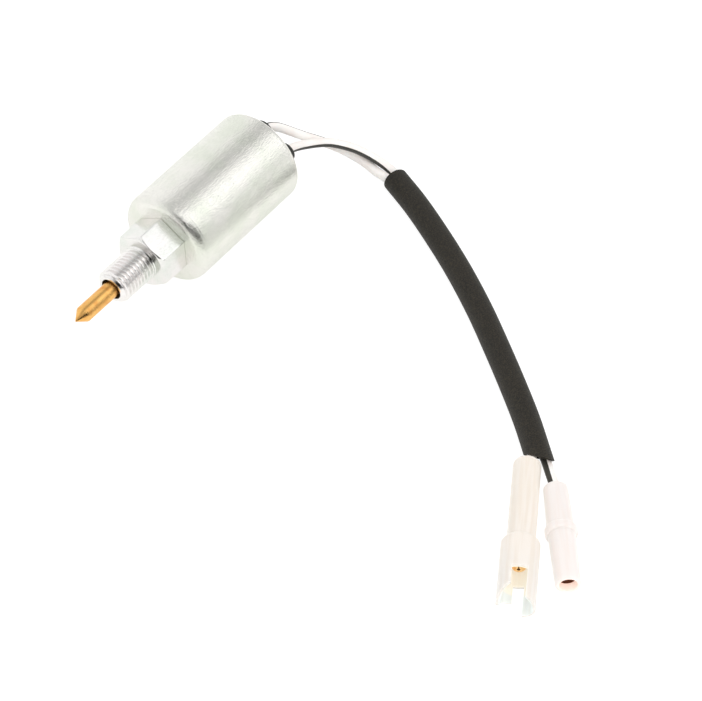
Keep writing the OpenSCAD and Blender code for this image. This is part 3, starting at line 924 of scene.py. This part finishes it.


# The harness: two leads and a sleeve


@dataclass
class Harness:
    """Both leads and the sleeve over them, in mm."""

    paints: Paints
    lead_d: float = 2.6
    sleeve_d: float = 7.0
    sleeve_bore: float = 6.0
    lead_side: float = 1.4
    boss_y: float = 3.708
    boss_z: float = 1.972
    boss_end: float = 57.2
    start_x: float = 50.6
    straight_l: float = 0.8
    mouth_tilt: float = 3.3
    mouth_turn: float = 124.0
    mouth_over: float = 0.27
    sleeve_route: tuple[Point, ...] = (
        (72.4, -29, -10), (68.4, -38.2, -10), (63.6, -47.6, -10), (55.8, -61.4, -10),
        (47, -75, -10), (38, -87.4, -10), (30.6, -97.2, -10), (23, -106.8, -10),
        (15.4, -115.5, -10),
    )
    lead_a_out: tuple[Point, ...] = (
        (58.5, 3.4, 1.7), (60.4, 2.4, 0.9), (61.9, 1.1, -0.2), (64.5, -1.6, -2.5),
        (66.5, -3.7, -4.2), (68.6, -5.9, -5.8), (70.4, -8.3, -7.3), (71.7, -11.4, -8.4),
        (72.4, -15.2, -9.2), (72.4, -19.2, -9.7), (71.8, -23, -10),
    )
    lead_b_out: tuple[Point, ...] = (
        (58.8, -4, -2.2), (61.1, -4.8, -2.6), (63.4, -6.1, -3), (65.5, -7.7, -3.2),
        (67.4, -9.6, -3.4), (69.1, -11.8, -3.9), (71.4, -15.7, -5.1),
        (73.1, -19.6, -6.8), (74, -23.2, -8.3), (74.2, -26.4, -9.4),
    )
    lead_a_in: tuple[Point, ...] = ((14.2, -114.4, -9.8),)
    lead_b_in: tuple[Point, ...] = (
        (16.4, -116.4, -10), (14.8, -118.4, -10), (11.8, -121.8, -9.8),
    )
    tail_a: float = 20.0
    tail_b: float = 15.8
    made: dict[str, bpy.types.Object] = field(default_factory=dict)

    def inside_sleeve(self, side: float) -> list[Vector]:
        """Returns one lead's points inside the sleeve, beside the sleeve's own."""
        route = [Vector(point) for point in self.sleeve_route]
        out = []
        for index in range(len(route) - 1):
            ahead = route[index + 1] - route[max(index - 1, 0)]
            beside = ahead.cross(Vector((0, 0, 1))).normalized()
            out.append(route[index] + beside * (side * self.lead_side))
        return out

    def lead_line(
        self, side: float, out: Sequence[Point], into: Sequence[Point], tail: Sequence[Point]
    ) -> list[Vector]:
        """Returns a lead's smooth centreline from the plug's boss into its terminal."""
        at_boss = (side * self.boss_y, side * self.boss_z)
        start = [(self.start_x, *at_boss), (self.boss_end - self.straight_l, *at_boss)]
        return smooth_route([*start, *out, *self.inside_sleeve(side), *into, *tail], 0.9)

    def build_lead(
        self,
        name: str,
        line: list[Vector],
        stripe_faces: Sequence[tuple[float, Point]],
    ) -> None:
        """Args:
            name: The lead's CAD node, which the piece replaces.
            line: Its centreline, in mm.
            stripe_faces: Shares of the length, each with the direction that the stripe faces.
        """
        sweep = Sweep(line, self.lead_d / 2)
        points = sweep.skin(sweep.radius)
        rings, sides = len(line), sweep.sides
        faces = grid_faces(rings, sides, False)
        faces.append(tuple(range(sides - 1, -1, -1)))
        faces.append(tuple(range((rings - 1) * sides, rings * sides)))
        piece = new_piece(f"{name}_cover", points, faces)
        stripe = piece.data.attributes.new("stripe", "FLOAT", "POINT")
        levels: list[float] = []
        for index, (_, side, up) in enumerate(sweep.frames()):
            faced = self.faced(index / (rings - 1), stripe_faces)
            centre = math.atan2(faced.dot(up), faced.dot(side))
            levels += [math.cos(2 * math.pi * k / sides - centre) for k in range(sides)]
        stripe.data.foreach_set("value", levels)
        self.paints.dress(piece, Finish.LEAD_COVER)
        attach(piece, BODY)
        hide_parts(name)
        tuple(line[0] * MM)
        length_of(line) * MM
        [tuple(point * MM) for point in line]
        self.made[name] = piece
        log.info("%s: %.1f mm long", name, length_of(line))

    @staticmethod
    def faced(share: float, stripe_faces: Sequence[tuple[float, Point]]) -> Vector:
        """Returns the direction that the stripe faces at this share of the length."""
        for (low, first), (high, second) in zip(stripe_faces, stripe_faces[1:]):
            if share <= high:
                step = (share - low) / (high - low)
                return Vector(first).lerp(Vector(second), max(0.0, step)).normalized()
        return Vector(stripe_faces[-1][1]).normalized()

    def build_sleeve(self) -> None:
        line = smooth_route(self.sleeve_route, 0.9)
        sweep = Sweep(line, self.sleeve_d / 2, 40)
        rings, sides = len(line), sweep.sides
        lip = 0.14

        def cut(index: int, angle: float) -> float:
            """Leans the cut ends, more over the last few rings."""
            from_end = rings - 1 - index
            lean = max(0.0, 1 - from_end / 6) * self.mouth_tilt
            return lean * (math.cos(angle - math.radians(self.mouth_turn)) + self.mouth_over)

        outer = sweep.skin(sweep.radius, cut)
        inner = sweep.skin(self.sleeve_bore / 2, cut)
        rim = [
            Sweep(line, sweep.radius, sides).skin(sweep.radius - lip, cut)[at:at + sides]
            for at in (0, (rings - 1) * sides)
        ]
        rows = [outer[at * sides:(at + 1) * sides] for at in range(rings)]
        back = [inner[at * sides:(at + 1) * sides] for at in range(rings - 1, -1, -1)]
        loop = [rim[0], *rows, rim[1], *back]
        points = [point for row in loop for point in row]
        piece = new_piece("harness_sleeve_cover", points, grid_faces(len(loop), sides, True))
        self.map_run(piece, len(loop), sides, 0.9, sweep.radius)
        self.paints.dress(piece, Finish.SLEEVE_BLACK)
        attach(piece, BODY)
        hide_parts("harness_sleeve")
        tuple(line[0] * MM)
        length_of(line) * MM
        [tuple(point * MM) for point in line]
        log.info("sleeve: %.1f mm long", length_of(line))

    @staticmethod
    def map_run(
        piece: bpy.types.Object, rows: int, sides: int, spacing: float, radius: float
    ) -> None:
        """Writes the map that the braid follows: metres along the tube and round it."""
        layer = piece.data.uv_layers.new(name="run")
        for face in piece.data.polygons:
            low_row = min(piece.data.loops[loop].vertex_index // sides for loop in face.loop_indices)
            wraps = {piece.data.loops[loop].vertex_index % sides for loop in face.loop_indices}
            for loop in face.loop_indices:
                row, side = divmod(piece.data.loops[loop].vertex_index, sides)
                if row == 0 and low_row == 0 and rows - 1 in {
                    piece.data.loops[other].vertex_index // sides for other in face.loop_indices
                }:
                    row = rows
                if side == 0 and sides - 1 in wraps:
                    side = sides
                layer.data[loop].uv = (
                    row * spacing * MM, side / sides * 2 * math.pi * radius * MM
                )

    def build(self) -> None:
        """Builds the leads and the sleeve."""
        tail_a = [MALE_AXIS.point(1), MALE_AXIS.point(self.tail_a)]
        tail_b = [FEMALE_AXIS.point(1), FEMALE_AXIS.point(self.tail_b)]
        line_a = self.lead_line(1, self.lead_a_out, self.lead_a_in, tail_a)
        line_b = self.lead_line(-1, self.lead_b_out, self.lead_b_in, tail_b)
        above_away = (0.66, 0.66, 0.20)
        beneath = (0.2, 0.2, -1.0)
        below_near = (-0.52, -0.42, -0.75)
        below_near_more = (-0.60, -0.47, -0.62)
        far_side = (-0.72, 0.67, 0.19)
        self.build_lead(
            "lead_a", line_a,
            [(0.0, above_away), (0.15, above_away), (0.19, beneath), (1.0, beneath)],
        )
        self.build_lead(
            "lead_b", line_b,
            [(0.0, below_near), (0.06, below_near), (0.12, below_near_more),
             (0.25, below_near_more), (0.6, (0, 0, 1)), (0.9, far_side), (1.0, far_side)],
        )
        self.build_sleeve()


# The solenoid


@dataclass
class Solenoid:
    """The can, the hex with its threaded stud, the needle and the rear plug, in mm."""

    paints: Paints
    can_d: float = 27.0
    can_front: float = 9.0
    can_rear: float = 50.4
    can_wall: float = 1.2
    front_r: float = 2.6
    rear_r: float = 1.7
    lip_w: float = 2.6
    plug_front: float = 45.1
    plug_rear: float = 48.7
    hex_af: float = 15.0
    hex_l: float = 9.0
    hex_chamfer: float = 0.95
    hex_turn: float = 28.0
    hex_edge_r: float = 0.25
    stud_d: float = 10.0
    stud_l: float = 12.3
    stud_chamfer: float = 1.2
    stud_bore: float = 6.0
    spigot_d: float = 13.0
    body_rear: float = 12.2
    pitch: float = 1.25
    thread_rows: int = 20
    needle_d: float = 4.6
    needle_out: float = 14.0
    cone_l: float = 2.9
    plunger_front: float = 1.1
    boss_d: float = 5.8
    boss_y: float = 3.708
    boss_z: float = 1.972
    boss_end: float = 57.2

    def finish_piece(
        self, piece: bpy.types.Object, body: str, node: str, slot: str, finish: Finish
    ) -> None:
        """Dresses a piece, puts it on its body and lets it stand for its CAD node."""
        self.paints.dress(piece, finish)
        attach(piece, body)
        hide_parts(node)
        log.info("%s: %d faces", piece.name, len(piece.data.polygons))

    def build_can(self) -> None:
        """Builds the drawn can with its round shoulder and its rolled rear edge."""
        half = self.can_d / 2
        bore = half - self.can_wall
        hole = self.spigot_d / 2 + 0.02
        lip = half - self.lip_w
        outline = rounded([
            Corner(self.can_front, hole, 0.15),
            Corner(self.can_front, half - 0.05, self.front_r),
            Corner(self.can_front + self.front_r + 0.05, half - 0.05, 0.05),
            Corner(self.can_front + self.front_r + 0.3, half, 0.12),
            Corner(self.can_rear, half, self.rear_r),
            Corner(self.can_rear, lip, 0.55),
            Corner(self.plug_rear, lip, 0.2),
            Corner(self.plug_rear, bore, 0.1),
            Corner(self.can_front + self.can_wall, bore, 1.4),
            Corner(self.can_front + self.can_wall, hole, 0.1),
        ], 10)
        piece = new_piece("can_shell", *turned(outline, 224))
        self.finish_piece(piece, BODY, "case_can", "plated_can", Finish.CAN_PLATE)

    def hexagon(self) -> tuple[list[float], list[float]]:
        """Returns the angles and radii round the hex, with its edges slightly rounded."""
        half = self.hex_af / 2
        corner_r = half / math.cos(math.pi / 6)
        angles: list[float] = []
        radii: list[float] = []
        for side in range(6):
            middle = math.radians(self.hex_turn - 30 + 60 * side)
            reach = half * math.tan(math.pi / 6) - self.hex_edge_r * math.tan(math.pi / 6)
            for step in range(19):
                along = reach * (2 * step / 18 - 1)
                angles.append(middle + math.atan2(along, half))
                radii.append(math.hypot(along, half))
            centre_r = corner_r - self.hex_edge_r / math.cos(math.pi / 6)
            for step in range(1, 4):
                lean = math.radians(-30 + 60 * step / 4)
                x = centre_r + self.hex_edge_r * math.cos(lean)
                y = self.hex_edge_r * math.sin(lean)
                angles.append(middle + math.pi / 6 + math.atan2(y, x))
                radii.append(math.hypot(x, y))
        return angles, radii

    def thread_radius(self, x: float, angle: float) -> float:
        """Returns the stud's radius on a right-hand thread that fades at the hex."""
        crest = self.stud_d / 2
        depth = 0.62 * self.pitch
        turn = (x / self.pitch - angle / (2 * math.pi)) % 1.0
        from_crest = min(turn, 1 - turn)
        share = min(1.0, max(0.0, (from_crest - 0.07) / 0.31))
        rounding = share * share * (3 - 2 * share)
        fade = min(1.0, max(0.0, -x / 0.8))
        threaded = crest - depth * (0.75 * share + 0.25 * rounding) * fade
        cone = crest - self.stud_chamfer + (x + self.stud_l)
        return min(threaded, cone)

    def build_body(self) -> None:
        """Builds the one-piece body: bore, real thread, chamfered hex and spigot."""
        angles, hex_radii = self.hexagon()
        count = len(angles)
        bore = self.stud_bore / 2
        end = -self.stud_l

        def even(x: float, radius: float) -> list[Point]:
            """Returns a plain round ring."""
            return ring(x, [radius] * count, angles)

        rows = [even(self.body_rear, 4.6), even(2.4, 4.6), even(2.4, 4.1), even(1.0, 4.1)]
        rows += [even(1.0, bore), even(end + 0.35, bore), even(end + 0.1, bore + 0.06)]
        rows += [even(end, bore + 0.2), even(end, self.stud_d / 2 - self.stud_chamfer - 0.05)]
        steps = round(self.stud_l / self.pitch * self.thread_rows)
        for step in range(steps + 1):
            x = end + 0.03 + (self.stud_l - 0.03) * step / steps
            rows.append(ring(x, [self.thread_radius(x, a) for a in angles], angles))
        flat_r = self.hex_af / 2 - 0.1
        slope = self.hex_chamfer / (self.hex_af / 2 / math.cos(math.pi / 6) + 0.05 - flat_r)
        rows.append(even(0.0, self.stud_d / 2 + 0.5))
        rows.append(even(0.0, flat_r - 0.12))
        rows.append(even(0.03, flat_r + 0.01))
        edge = [(r - flat_r) * slope for r in hex_radii]
        inner = [max(flat_r + 0.02, r - 0.07) for r in hex_radii]
        rows.append([
            ring(x * 0.86 + 0.005, [r], [a])[0] for x, r, a in zip(edge, inner, angles)
        ])
        rows.append([
            ring(x + 0.06, [r], [a])[0] for x, r, a in zip(edge, hex_radii, angles)
        ])
        rows.append([
            ring(x + 0.35, [r], [a])[0] for x, r, a in zip(edge, hex_radii, angles)
        ])
        rows += [ring(self.hex_l - 0.12, hex_radii, angles)]
        rows += [ring(self.hex_l, [r - 0.1 for r in hex_radii], angles)]
        rows += [even(self.hex_l, self.spigot_d / 2), even(self.body_rear, self.spigot_d / 2)]
        points = [point for row in rows for point in row]
        faces = grid_faces(len(rows), count, True)
        piece = new_piece("hex_stud_threaded", points, faces, math.radians(32))
        self.finish_piece(piece, BODY, "hex_stud_body", "plated_body", Finish.BODY_PLATE)

    def build_needle(self) -> None:
        """Builds the brass needle with its cone and the fine line turned behind it."""
        tip = -self.stud_l - self.needle_out
        base = tip + self.cone_l
        half = self.needle_d / 2
        outline = rounded([
            Corner(tip, 0.001),
            Corner(tip, 0.14, 0.05),
            Corner(base, half - 0.1, 0.1),
            Corner(base + 0.18, half - 0.1, 0.03),
            Corner(base + 0.3, half, 0.05),
            Corner(self.plunger_front - 0.4, half, 0.05),
            Corner(self.plunger_front, half - 0.4),
            Corner(self.plunger_front, 1.5),
            Corner(self.plunger_front + 6.8, 1.5),
            Corner(self.plunger_front + 6.8, 0.001),
        ], 4)
        piece = new_piece("needle_turned", *turned(outline, 96), math.radians(25))
        self.finish_piece(piece, PLUNGER_BODY, "needle", "needle_brass", Finish.NEEDLE_BRASS)

    def build_plug(self) -> None:
        """Builds the rubber plug and its two bosses."""
        disc = rounded([
            Corner(self.plug_front, 0.001),
            Corner(self.plug_front, self.can_d / 2 - self.can_wall - 0.02, 0.3),
            Corner(self.plug_rear, self.can_d / 2 - self.can_wall - 0.02, 0.1),
            Corner(self.plug_rear, self.can_d / 2 - self.lip_w - 0.2, 0.1),
            Corner(self.plug_rear + 1.02, self.can_d / 2 - self.lip_w - 0.2, 0.3),
            Corner(self.plug_rear + 1.02, 0.001),
        ], 5)
        parts = [turned(disc, 128)]
        hole = 1.35
        boss = rounded([
            Corner(self.plug_rear + 0.2, hole),
            Corner(self.plug_rear + 0.2, self.boss_d / 2 + 0.25),
            Corner(self.plug_rear + 1.25, self.boss_d / 2, 0.3),
            Corner(self.boss_end, self.boss_d / 2, 0.5),
            Corner(self.boss_end, hole, 0.15),
        ], 6)
        for side in (1, -1):
            parts.append(turned(boss, 64, (side * self.boss_y, side * self.boss_z)))
        piece = new_piece("rear_plug_moulding", *joined(parts))
        self.finish_piece(piece, BODY, "rear_plug", "plug_rubber", Finish.PLUG_RUBBER)

    def build(self) -> None:
        """Builds the solenoid's visible pieces."""
        self.build_can()
        self.build_body()
        self.build_needle()
        self.build_plug()


# The connectors


@dataclass
class Connectors:
    """The male and female bullet connectors, drawn from their rear ends along +X, in mm."""

    paints: Paints
    male_l: float = 46.0
    male_d: float = 7.1
    shroud_d: float = 9.8
    shroud_wall: float = 0.9
    shroud_start: float = 25.4
    slot_start: float = 36.2
    slot_w: float = 3.8
    slot_low_w: float = 2.7
    slot_off: float = 0.3
    prong_step: float = 1.0
    prong_cut: float = 1.1
    tongue_cut: float = 4.0
    prong_tip_h: float = 0.6
    flute_count: int = 18
    flute_depth: float = 0.035
    pin_start: float = 27.2
    pin_end: float = 34.0
    pin_nose: float = 1.5
    bullet_d: float = 3.9
    female_l: float = 30.6
    female_d: float = 6.8
    ring_d: float = 8.2
    ring_at: float = 14.2
    ring_w: float = 2.4
    mouth_recess: float = 2.4
    socket_l: float = 7.8

    def finish_piece(
        self,
        piece: bpy.types.Object,
        axis: ConnectorAxis,
        node: str,
        slot: str,
        finish: Finish,
    ) -> None:
        """Lays a piece on its connector's axis, dresses it and lets it stand for its node."""
        axis.place(piece)
        self.paints.dress(piece, finish)
        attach(piece, BODY)
        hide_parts(node)
        log.info("%s: %d faces", piece.name, len(piece.data.polygons))

    def shroud_columns(self) -> list[tuple[float, float, int]]:
        """Returns the angle outside, the angle inside and the prong of each column.

        The columns at the slots' edges share one plane outside and inside. The prong is 1 or
        -1, or 0 between the prongs.
        """
        outer = self.shroud_d / 2
        inner = outer - self.shroud_wall
        high, low = self.slot_w / 2, self.slot_low_w / 2
        edges = [
            (self.slot_off + low, -1, 1), (self.slot_off + high, 1, 1),
            (self.slot_off - high, 1, -1), (self.slot_off - low, -1, -1),
        ]
        angles = []
        for y, up, _ in edges:
            pair = []
            for radius in (outer, inner):
                pair.append(math.atan2(up * math.sqrt(radius * radius - y * y), y))
            angles.append(pair)
        for pair in angles[2:]:
            pair[:] = [angle % (2 * math.pi) for angle in pair]
        spans = [
            (angles[0], angles[1], 1, 52), (angles[1], angles[2], 0, 14),
            (angles[2], angles[3], -1, 52),
            (angles[3], [angle + 2 * math.pi for angle in angles[0]], 0, 10),
        ]
        columns = []
        for first, last, prong, steps in spans:
            for step in range(steps):
                share = step / steps
                columns.append((
                    first[0] + (last[0] - first[0]) * share,
                    first[1] + (last[1] - first[1]) * share,
                    prong,
                ))
            if prong:
                columns.append((last[0], last[1], prong))
        kept = []
        for column in columns:
            if kept and abs(kept[-1][0] - column[0]) < 1e-6:
                continue
            kept.append(column)
        return kept

    def prong_end(self, prong: int, z: float) -> float:
        """Returns where a prong ends at this height: its corners slope back to a tongue."""
        end = self.male_l if prong > 0 else self.male_l - self.prong_step
        cut = self.prong_cut if prong > 0 else self.tongue_cut
        slope = (abs(z) - self.prong_tip_h) / (self.shroud_d / 2 - self.prong_tip_h)
        return end - cut * max(0.0, slope)

    def build_male_housing(self) -> None:
        """Builds the male housing: round narrow end, shoulder and two prongs as one skin."""
        bore, crimp, bead = 1.45, 1.7, 2.47
        outer = self.shroud_d / 2
        inner = outer - self.shroud_wall
        outside = rounded([
            Corner(self.pin_start, bore), Corner(0.0, bore, 0.3),
            Corner(0.0, self.male_d / 2, 1.6),
            Corner(self.shroud_start, self.male_d / 2 + 0.05, 0.35),
            Corner(self.shroud_start, outer, 1.3), Corner(self.slot_start, outer),
        ], 8)[1:]
        inside = [
            (self.slot_start, inner), (self.pin_start + 0.3, inner), (self.pin_start, inner - 0.3),
            (self.pin_start, bead), (self.pin_start - 2.6, bead), (self.pin_start - 2.6, crimp),
            (self.pin_start - 7.2, crimp), (self.pin_start - 7.2, bore),
        ]
        columns = self.shroud_columns()
        count = len(columns)
        points: list[Point] = []
        for x, r in outside:
            fluted = 2.2 < x < self.shroud_start - 1
            for angle, _, _ in columns:
                wave = (1 - math.cos(self.flute_count * angle)) / 2 * self.flute_depth
                radius = r - wave if fluted else r
                points.append((x, radius * math.cos(angle), radius * math.sin(angle)))
        for x, r in inside:
            points += [(x, r * math.cos(angle), r * math.sin(angle)) for _, angle, _ in columns]
        rows = len(outside) + len(inside)
        brow = len(outside) - 1
        faces: list[tuple[int, ...]] = []
        for row in range(rows):
            after = (row + 1) % rows
            for at in range(count):
                beside = (at + 1) % count
                between = columns[at][2] * columns[beside][2] == 1
                if row == brow and between:
                    continue
                faces.append((
                    row * count + at, row * count + beside, after * count + beside, after * count + at
                ))
        lip = 0.14
        shape = [(0.5, 0.0, 0), (1.0, 0.0, 0), (1.0, lip, 0), (1.0, lip, 1), (1.0, 0.0, 1), (0.5, 0.0, 1)]
        for prong in (1, -1):
            members = [at for at in range(count) if columns[at][2] == prong]
            strips = [[brow * count + at for at in members]]
            for share, inset, within in shape:
                strip = []
                for at in members:
                    angle = columns[at][within]
                    z = outer * math.sin(columns[at][0])
                    end = self.prong_end(prong, z)
                    back = lip if inset == 0.0 and share == 1.0 else 0.0
                    x = self.slot_start + (end - self.slot_start) * share - back
                    radius = (inner + inset) if within else (outer - inset)
                    strip.append(len(points))
                    points.append((x, radius * math.cos(angle), radius * math.sin(angle)))
                strips.append(strip)
            strips.append([(brow + 1) * count + at for at in members])
            for strip, later in zip(strips, strips[1:]):
                for at in range(len(members) - 1):
                    faces.append((strip[at], strip[at + 1], later[at + 1], later[at]))
            faces.append(tuple(strip[0] for strip in strips))
            faces.append(tuple(strip[-1] for strip in reversed(strips)))
        piece = new_piece("male_housing_shell", points, faces)
        self.finish_piece(
            piece, MALE_AXIS, "male_housing", "nylon_cream", Finish.NYLON_CREAM
        )

    def rolled(
        self, outline: Sequence[tuple[float, float]], gap: float
    ) -> tuple[list[Point], list[tuple[int, ...]]]:
        """Rolls a closed outline round the X axis and leaves a seam on top.

        Args:
            outline: The wall's section, as places along the axis and radii.
            gap: The seam's width, in mm.

        Returns:
            The points and faces of the rolled piece.
        """
        columns = 73
        points: list[Point] = []
        for x, r in outline:
            half_gap = gap / 2 / max(r, 0.3)
            for step in range(columns):
                angle = math.pi / 2 + half_gap + (2 * math.pi - 2 * half_gap) * step / (columns - 1)
                points.append((x, r * math.cos(angle), r * math.sin(angle)))
        rows = len(outline)
        faces: list[tuple[int, ...]] = []
        for row in range(rows):
            lower, upper = row * columns, (row + 1) % rows * columns
            for at in range(columns - 1):
                faces.append((lower + at, lower + at + 1, upper + at + 1, upper + at))
        faces.append(tuple(row * columns for row in range(rows - 1, -1, -1)))
        faces.append(tuple(row * columns + columns - 1 for row in range(rows)))
        return points, faces

    def build_male_bullet(self) -> None:
        """Builds the rolled pin with its seam, round nose, bead and crimp barrel."""
        half = self.bullet_d / 2
        wall = 0.4
        seat = self.pin_start - 2.6
        outline = rounded([
            Corner(seat, 0.9),
            Corner(seat, 2.45, 0.15),
            Corner(self.pin_start - 0.4, 2.45, 0.3),
            Corner(self.pin_start - 0.2, half, 0.1),
            Corner(self.pin_end, half, self.pin_nose - 0.1),
            Corner(self.pin_end, 0.42, 0.05),
            Corner(self.pin_end - 0.35, 0.42, 0.1),
            Corner(self.pin_end - 1.3, half - wall, 0.3),
            Corner(self.pin_start, half - wall, 0.2),
            Corner(self.pin_start, 0.9),
        ], 7)
        crimp = rounded([
            Corner(seat - 4.6, 1.32), Corner(seat - 4.6, 1.66, 0.1),
            Corner(seat + 0.1, 1.66, 0.1), Corner(seat + 0.1, 1.32),
        ], 4)
        piece = new_piece(
            "male_bullet_pin", *joined([self.rolled(outline, 0.3), turned(crimp, 64)])
        )
        self.finish_piece(
            piece, MALE_AXIS, "male_bullet", "terminal_brass", Finish.TERMINAL_BRASS
        )

    def build_female_housing(self) -> None:
        """Builds the female housing with its ring half way and its open mouth."""
        rear = self.female_d / 2 - 0.3
        middle = self.female_d / 2 + 0.05
        front = self.female_d / 2 - 0.2
        low = self.ring_at - self.ring_w / 2
        high = self.ring_at + self.ring_w / 2
        bead = self.ring_d / 2 - middle
        end = self.female_l - self.mouth_recess
        mouth = self.bullet_d / 2 + 0.25
        socket = self.bullet_d / 2 + 0.45
        outline = rounded([
            Corner(0.0, 1.45, 0.25),
            Corner(0.0, rear, 0.8),
            Corner(low, middle, 0.12),
            Corner(low, self.ring_d / 2, bead * 0.85),
            Corner(high, self.ring_d / 2, bead * 0.85),
            Corner(high, middle, 0.12),
            Corner(self.female_l, front, 0.6),
            Corner(self.female_l, mouth + 0.1, 0.25),
            Corner(end, mouth, 0.1),
            Corner(end, socket),
            Corner(end - self.socket_l, socket),
            Corner(end - self.socket_l, 1.7),
            Corner(end - self.socket_l - 4.6, 1.7),
            Corner(end - self.socket_l - 4.6, 1.45),
        ], 7)
        piece = new_piece("female_housing_shell", *turned(outline, 144))
        self.finish_piece(
            piece, FEMALE_AXIS, "female_housing", "nylon_pale", Finish.NYLON_PALE
        )

    def build_female_bullet(self) -> None:
        """Builds the rolled socket with its seam and flared mouth."""
        half = self.bullet_d / 2 + 0.03
        wall = 0.4
        end = self.female_l - self.mouth_recess
        start = end - self.socket_l
        outline = rounded([
            Corner(start, 1.0),
            Corner(start, half + wall, 0.2),
            Corner(end, half + wall, 0.12),
            Corner(end, half + 0.16, 0.1),
            Corner(end - 0.9, half - 0.55, 0.3),
            Corner(end - 2.4, half - 0.02, 0.3),
            Corner(start + 1.0, half, 0.2),
            Corner(start + 1.0, 1.0),
        ], 5)
        crimp = rounded([
            Corner(start - 4.6, 1.32), Corner(start - 4.6, 1.66, 0.1),
            Corner(start + 0.1, 1.66, 0.1), Corner(start + 0.1, 1.32),
        ], 4)
        piece = new_piece(
            "female_bullet_socket", *joined([self.rolled(outline, 0.25), turned(crimp, 64)])
        )
        self.finish_piece(
            piece, FEMALE_AXIS, "female_bullet", "terminal_brass", Finish.SOCKET_BRASS
        )

    def build(self) -> None:
        """Builds both connectors."""
        self.build_male_housing()
        self.build_male_bullet()
        self.build_female_housing()
        self.build_female_bullet()


# The pieces inside, which keep their CAD shapes


@dataclass
class Internals:
    """The CAD nodes that stay, each with its finish."""

    paints: Paints
    finishes: dict[str, Finish] = field(default_factory=lambda: {
        "front_pole_washer": Finish.POLE_STEEL,
        "rear_pole_washer": Finish.POLE_STEEL,
        "coil_bobbin": Finish.BOBBIN_PLASTIC,
        "coil_winding": Finish.WINDING,
        "coil_wrap": Finish.COIL_TAPE,
        "guide_tube": Finish.GUIDE_BRASS,
        "fixed_core": Finish.CORE_STEEL,
        "core_oring": Finish.SEAL_RUBBER,
        "body_oring": Finish.SEAL_RUBBER,
        "plunger": Finish.CORE_STEEL,
        "return_spring": Finish.SPRING_STEEL,
        "stop_shim": Finish.GUIDE_BRASS,
        "splice_a": Finish.TINNED_COPPER,
        "splice_b": Finish.TINNED_COPPER,
    })

    def build(self) -> None:
        """Dresses every kept node."""
        for node, finish in self.finishes.items():
            self.paints.dress(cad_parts[node], finish)
            log.info("%s: %s", node, finish.value.name)


def main() -> None:
    """Builds the studio and every sub-assembly."""
    logging.basicConfig(level=logging.INFO, format="%(message)s")
    scene = bpy.context.scene
    scene.view_settings.view_transform = "Standard"
    Studio().build()
    paints = Paints()
    Connectors(paints).build()
    Harness(paints).build()
    Solenoid(paints).build()
    Internals(paints).build()


if __name__ == "__main__":
    main()
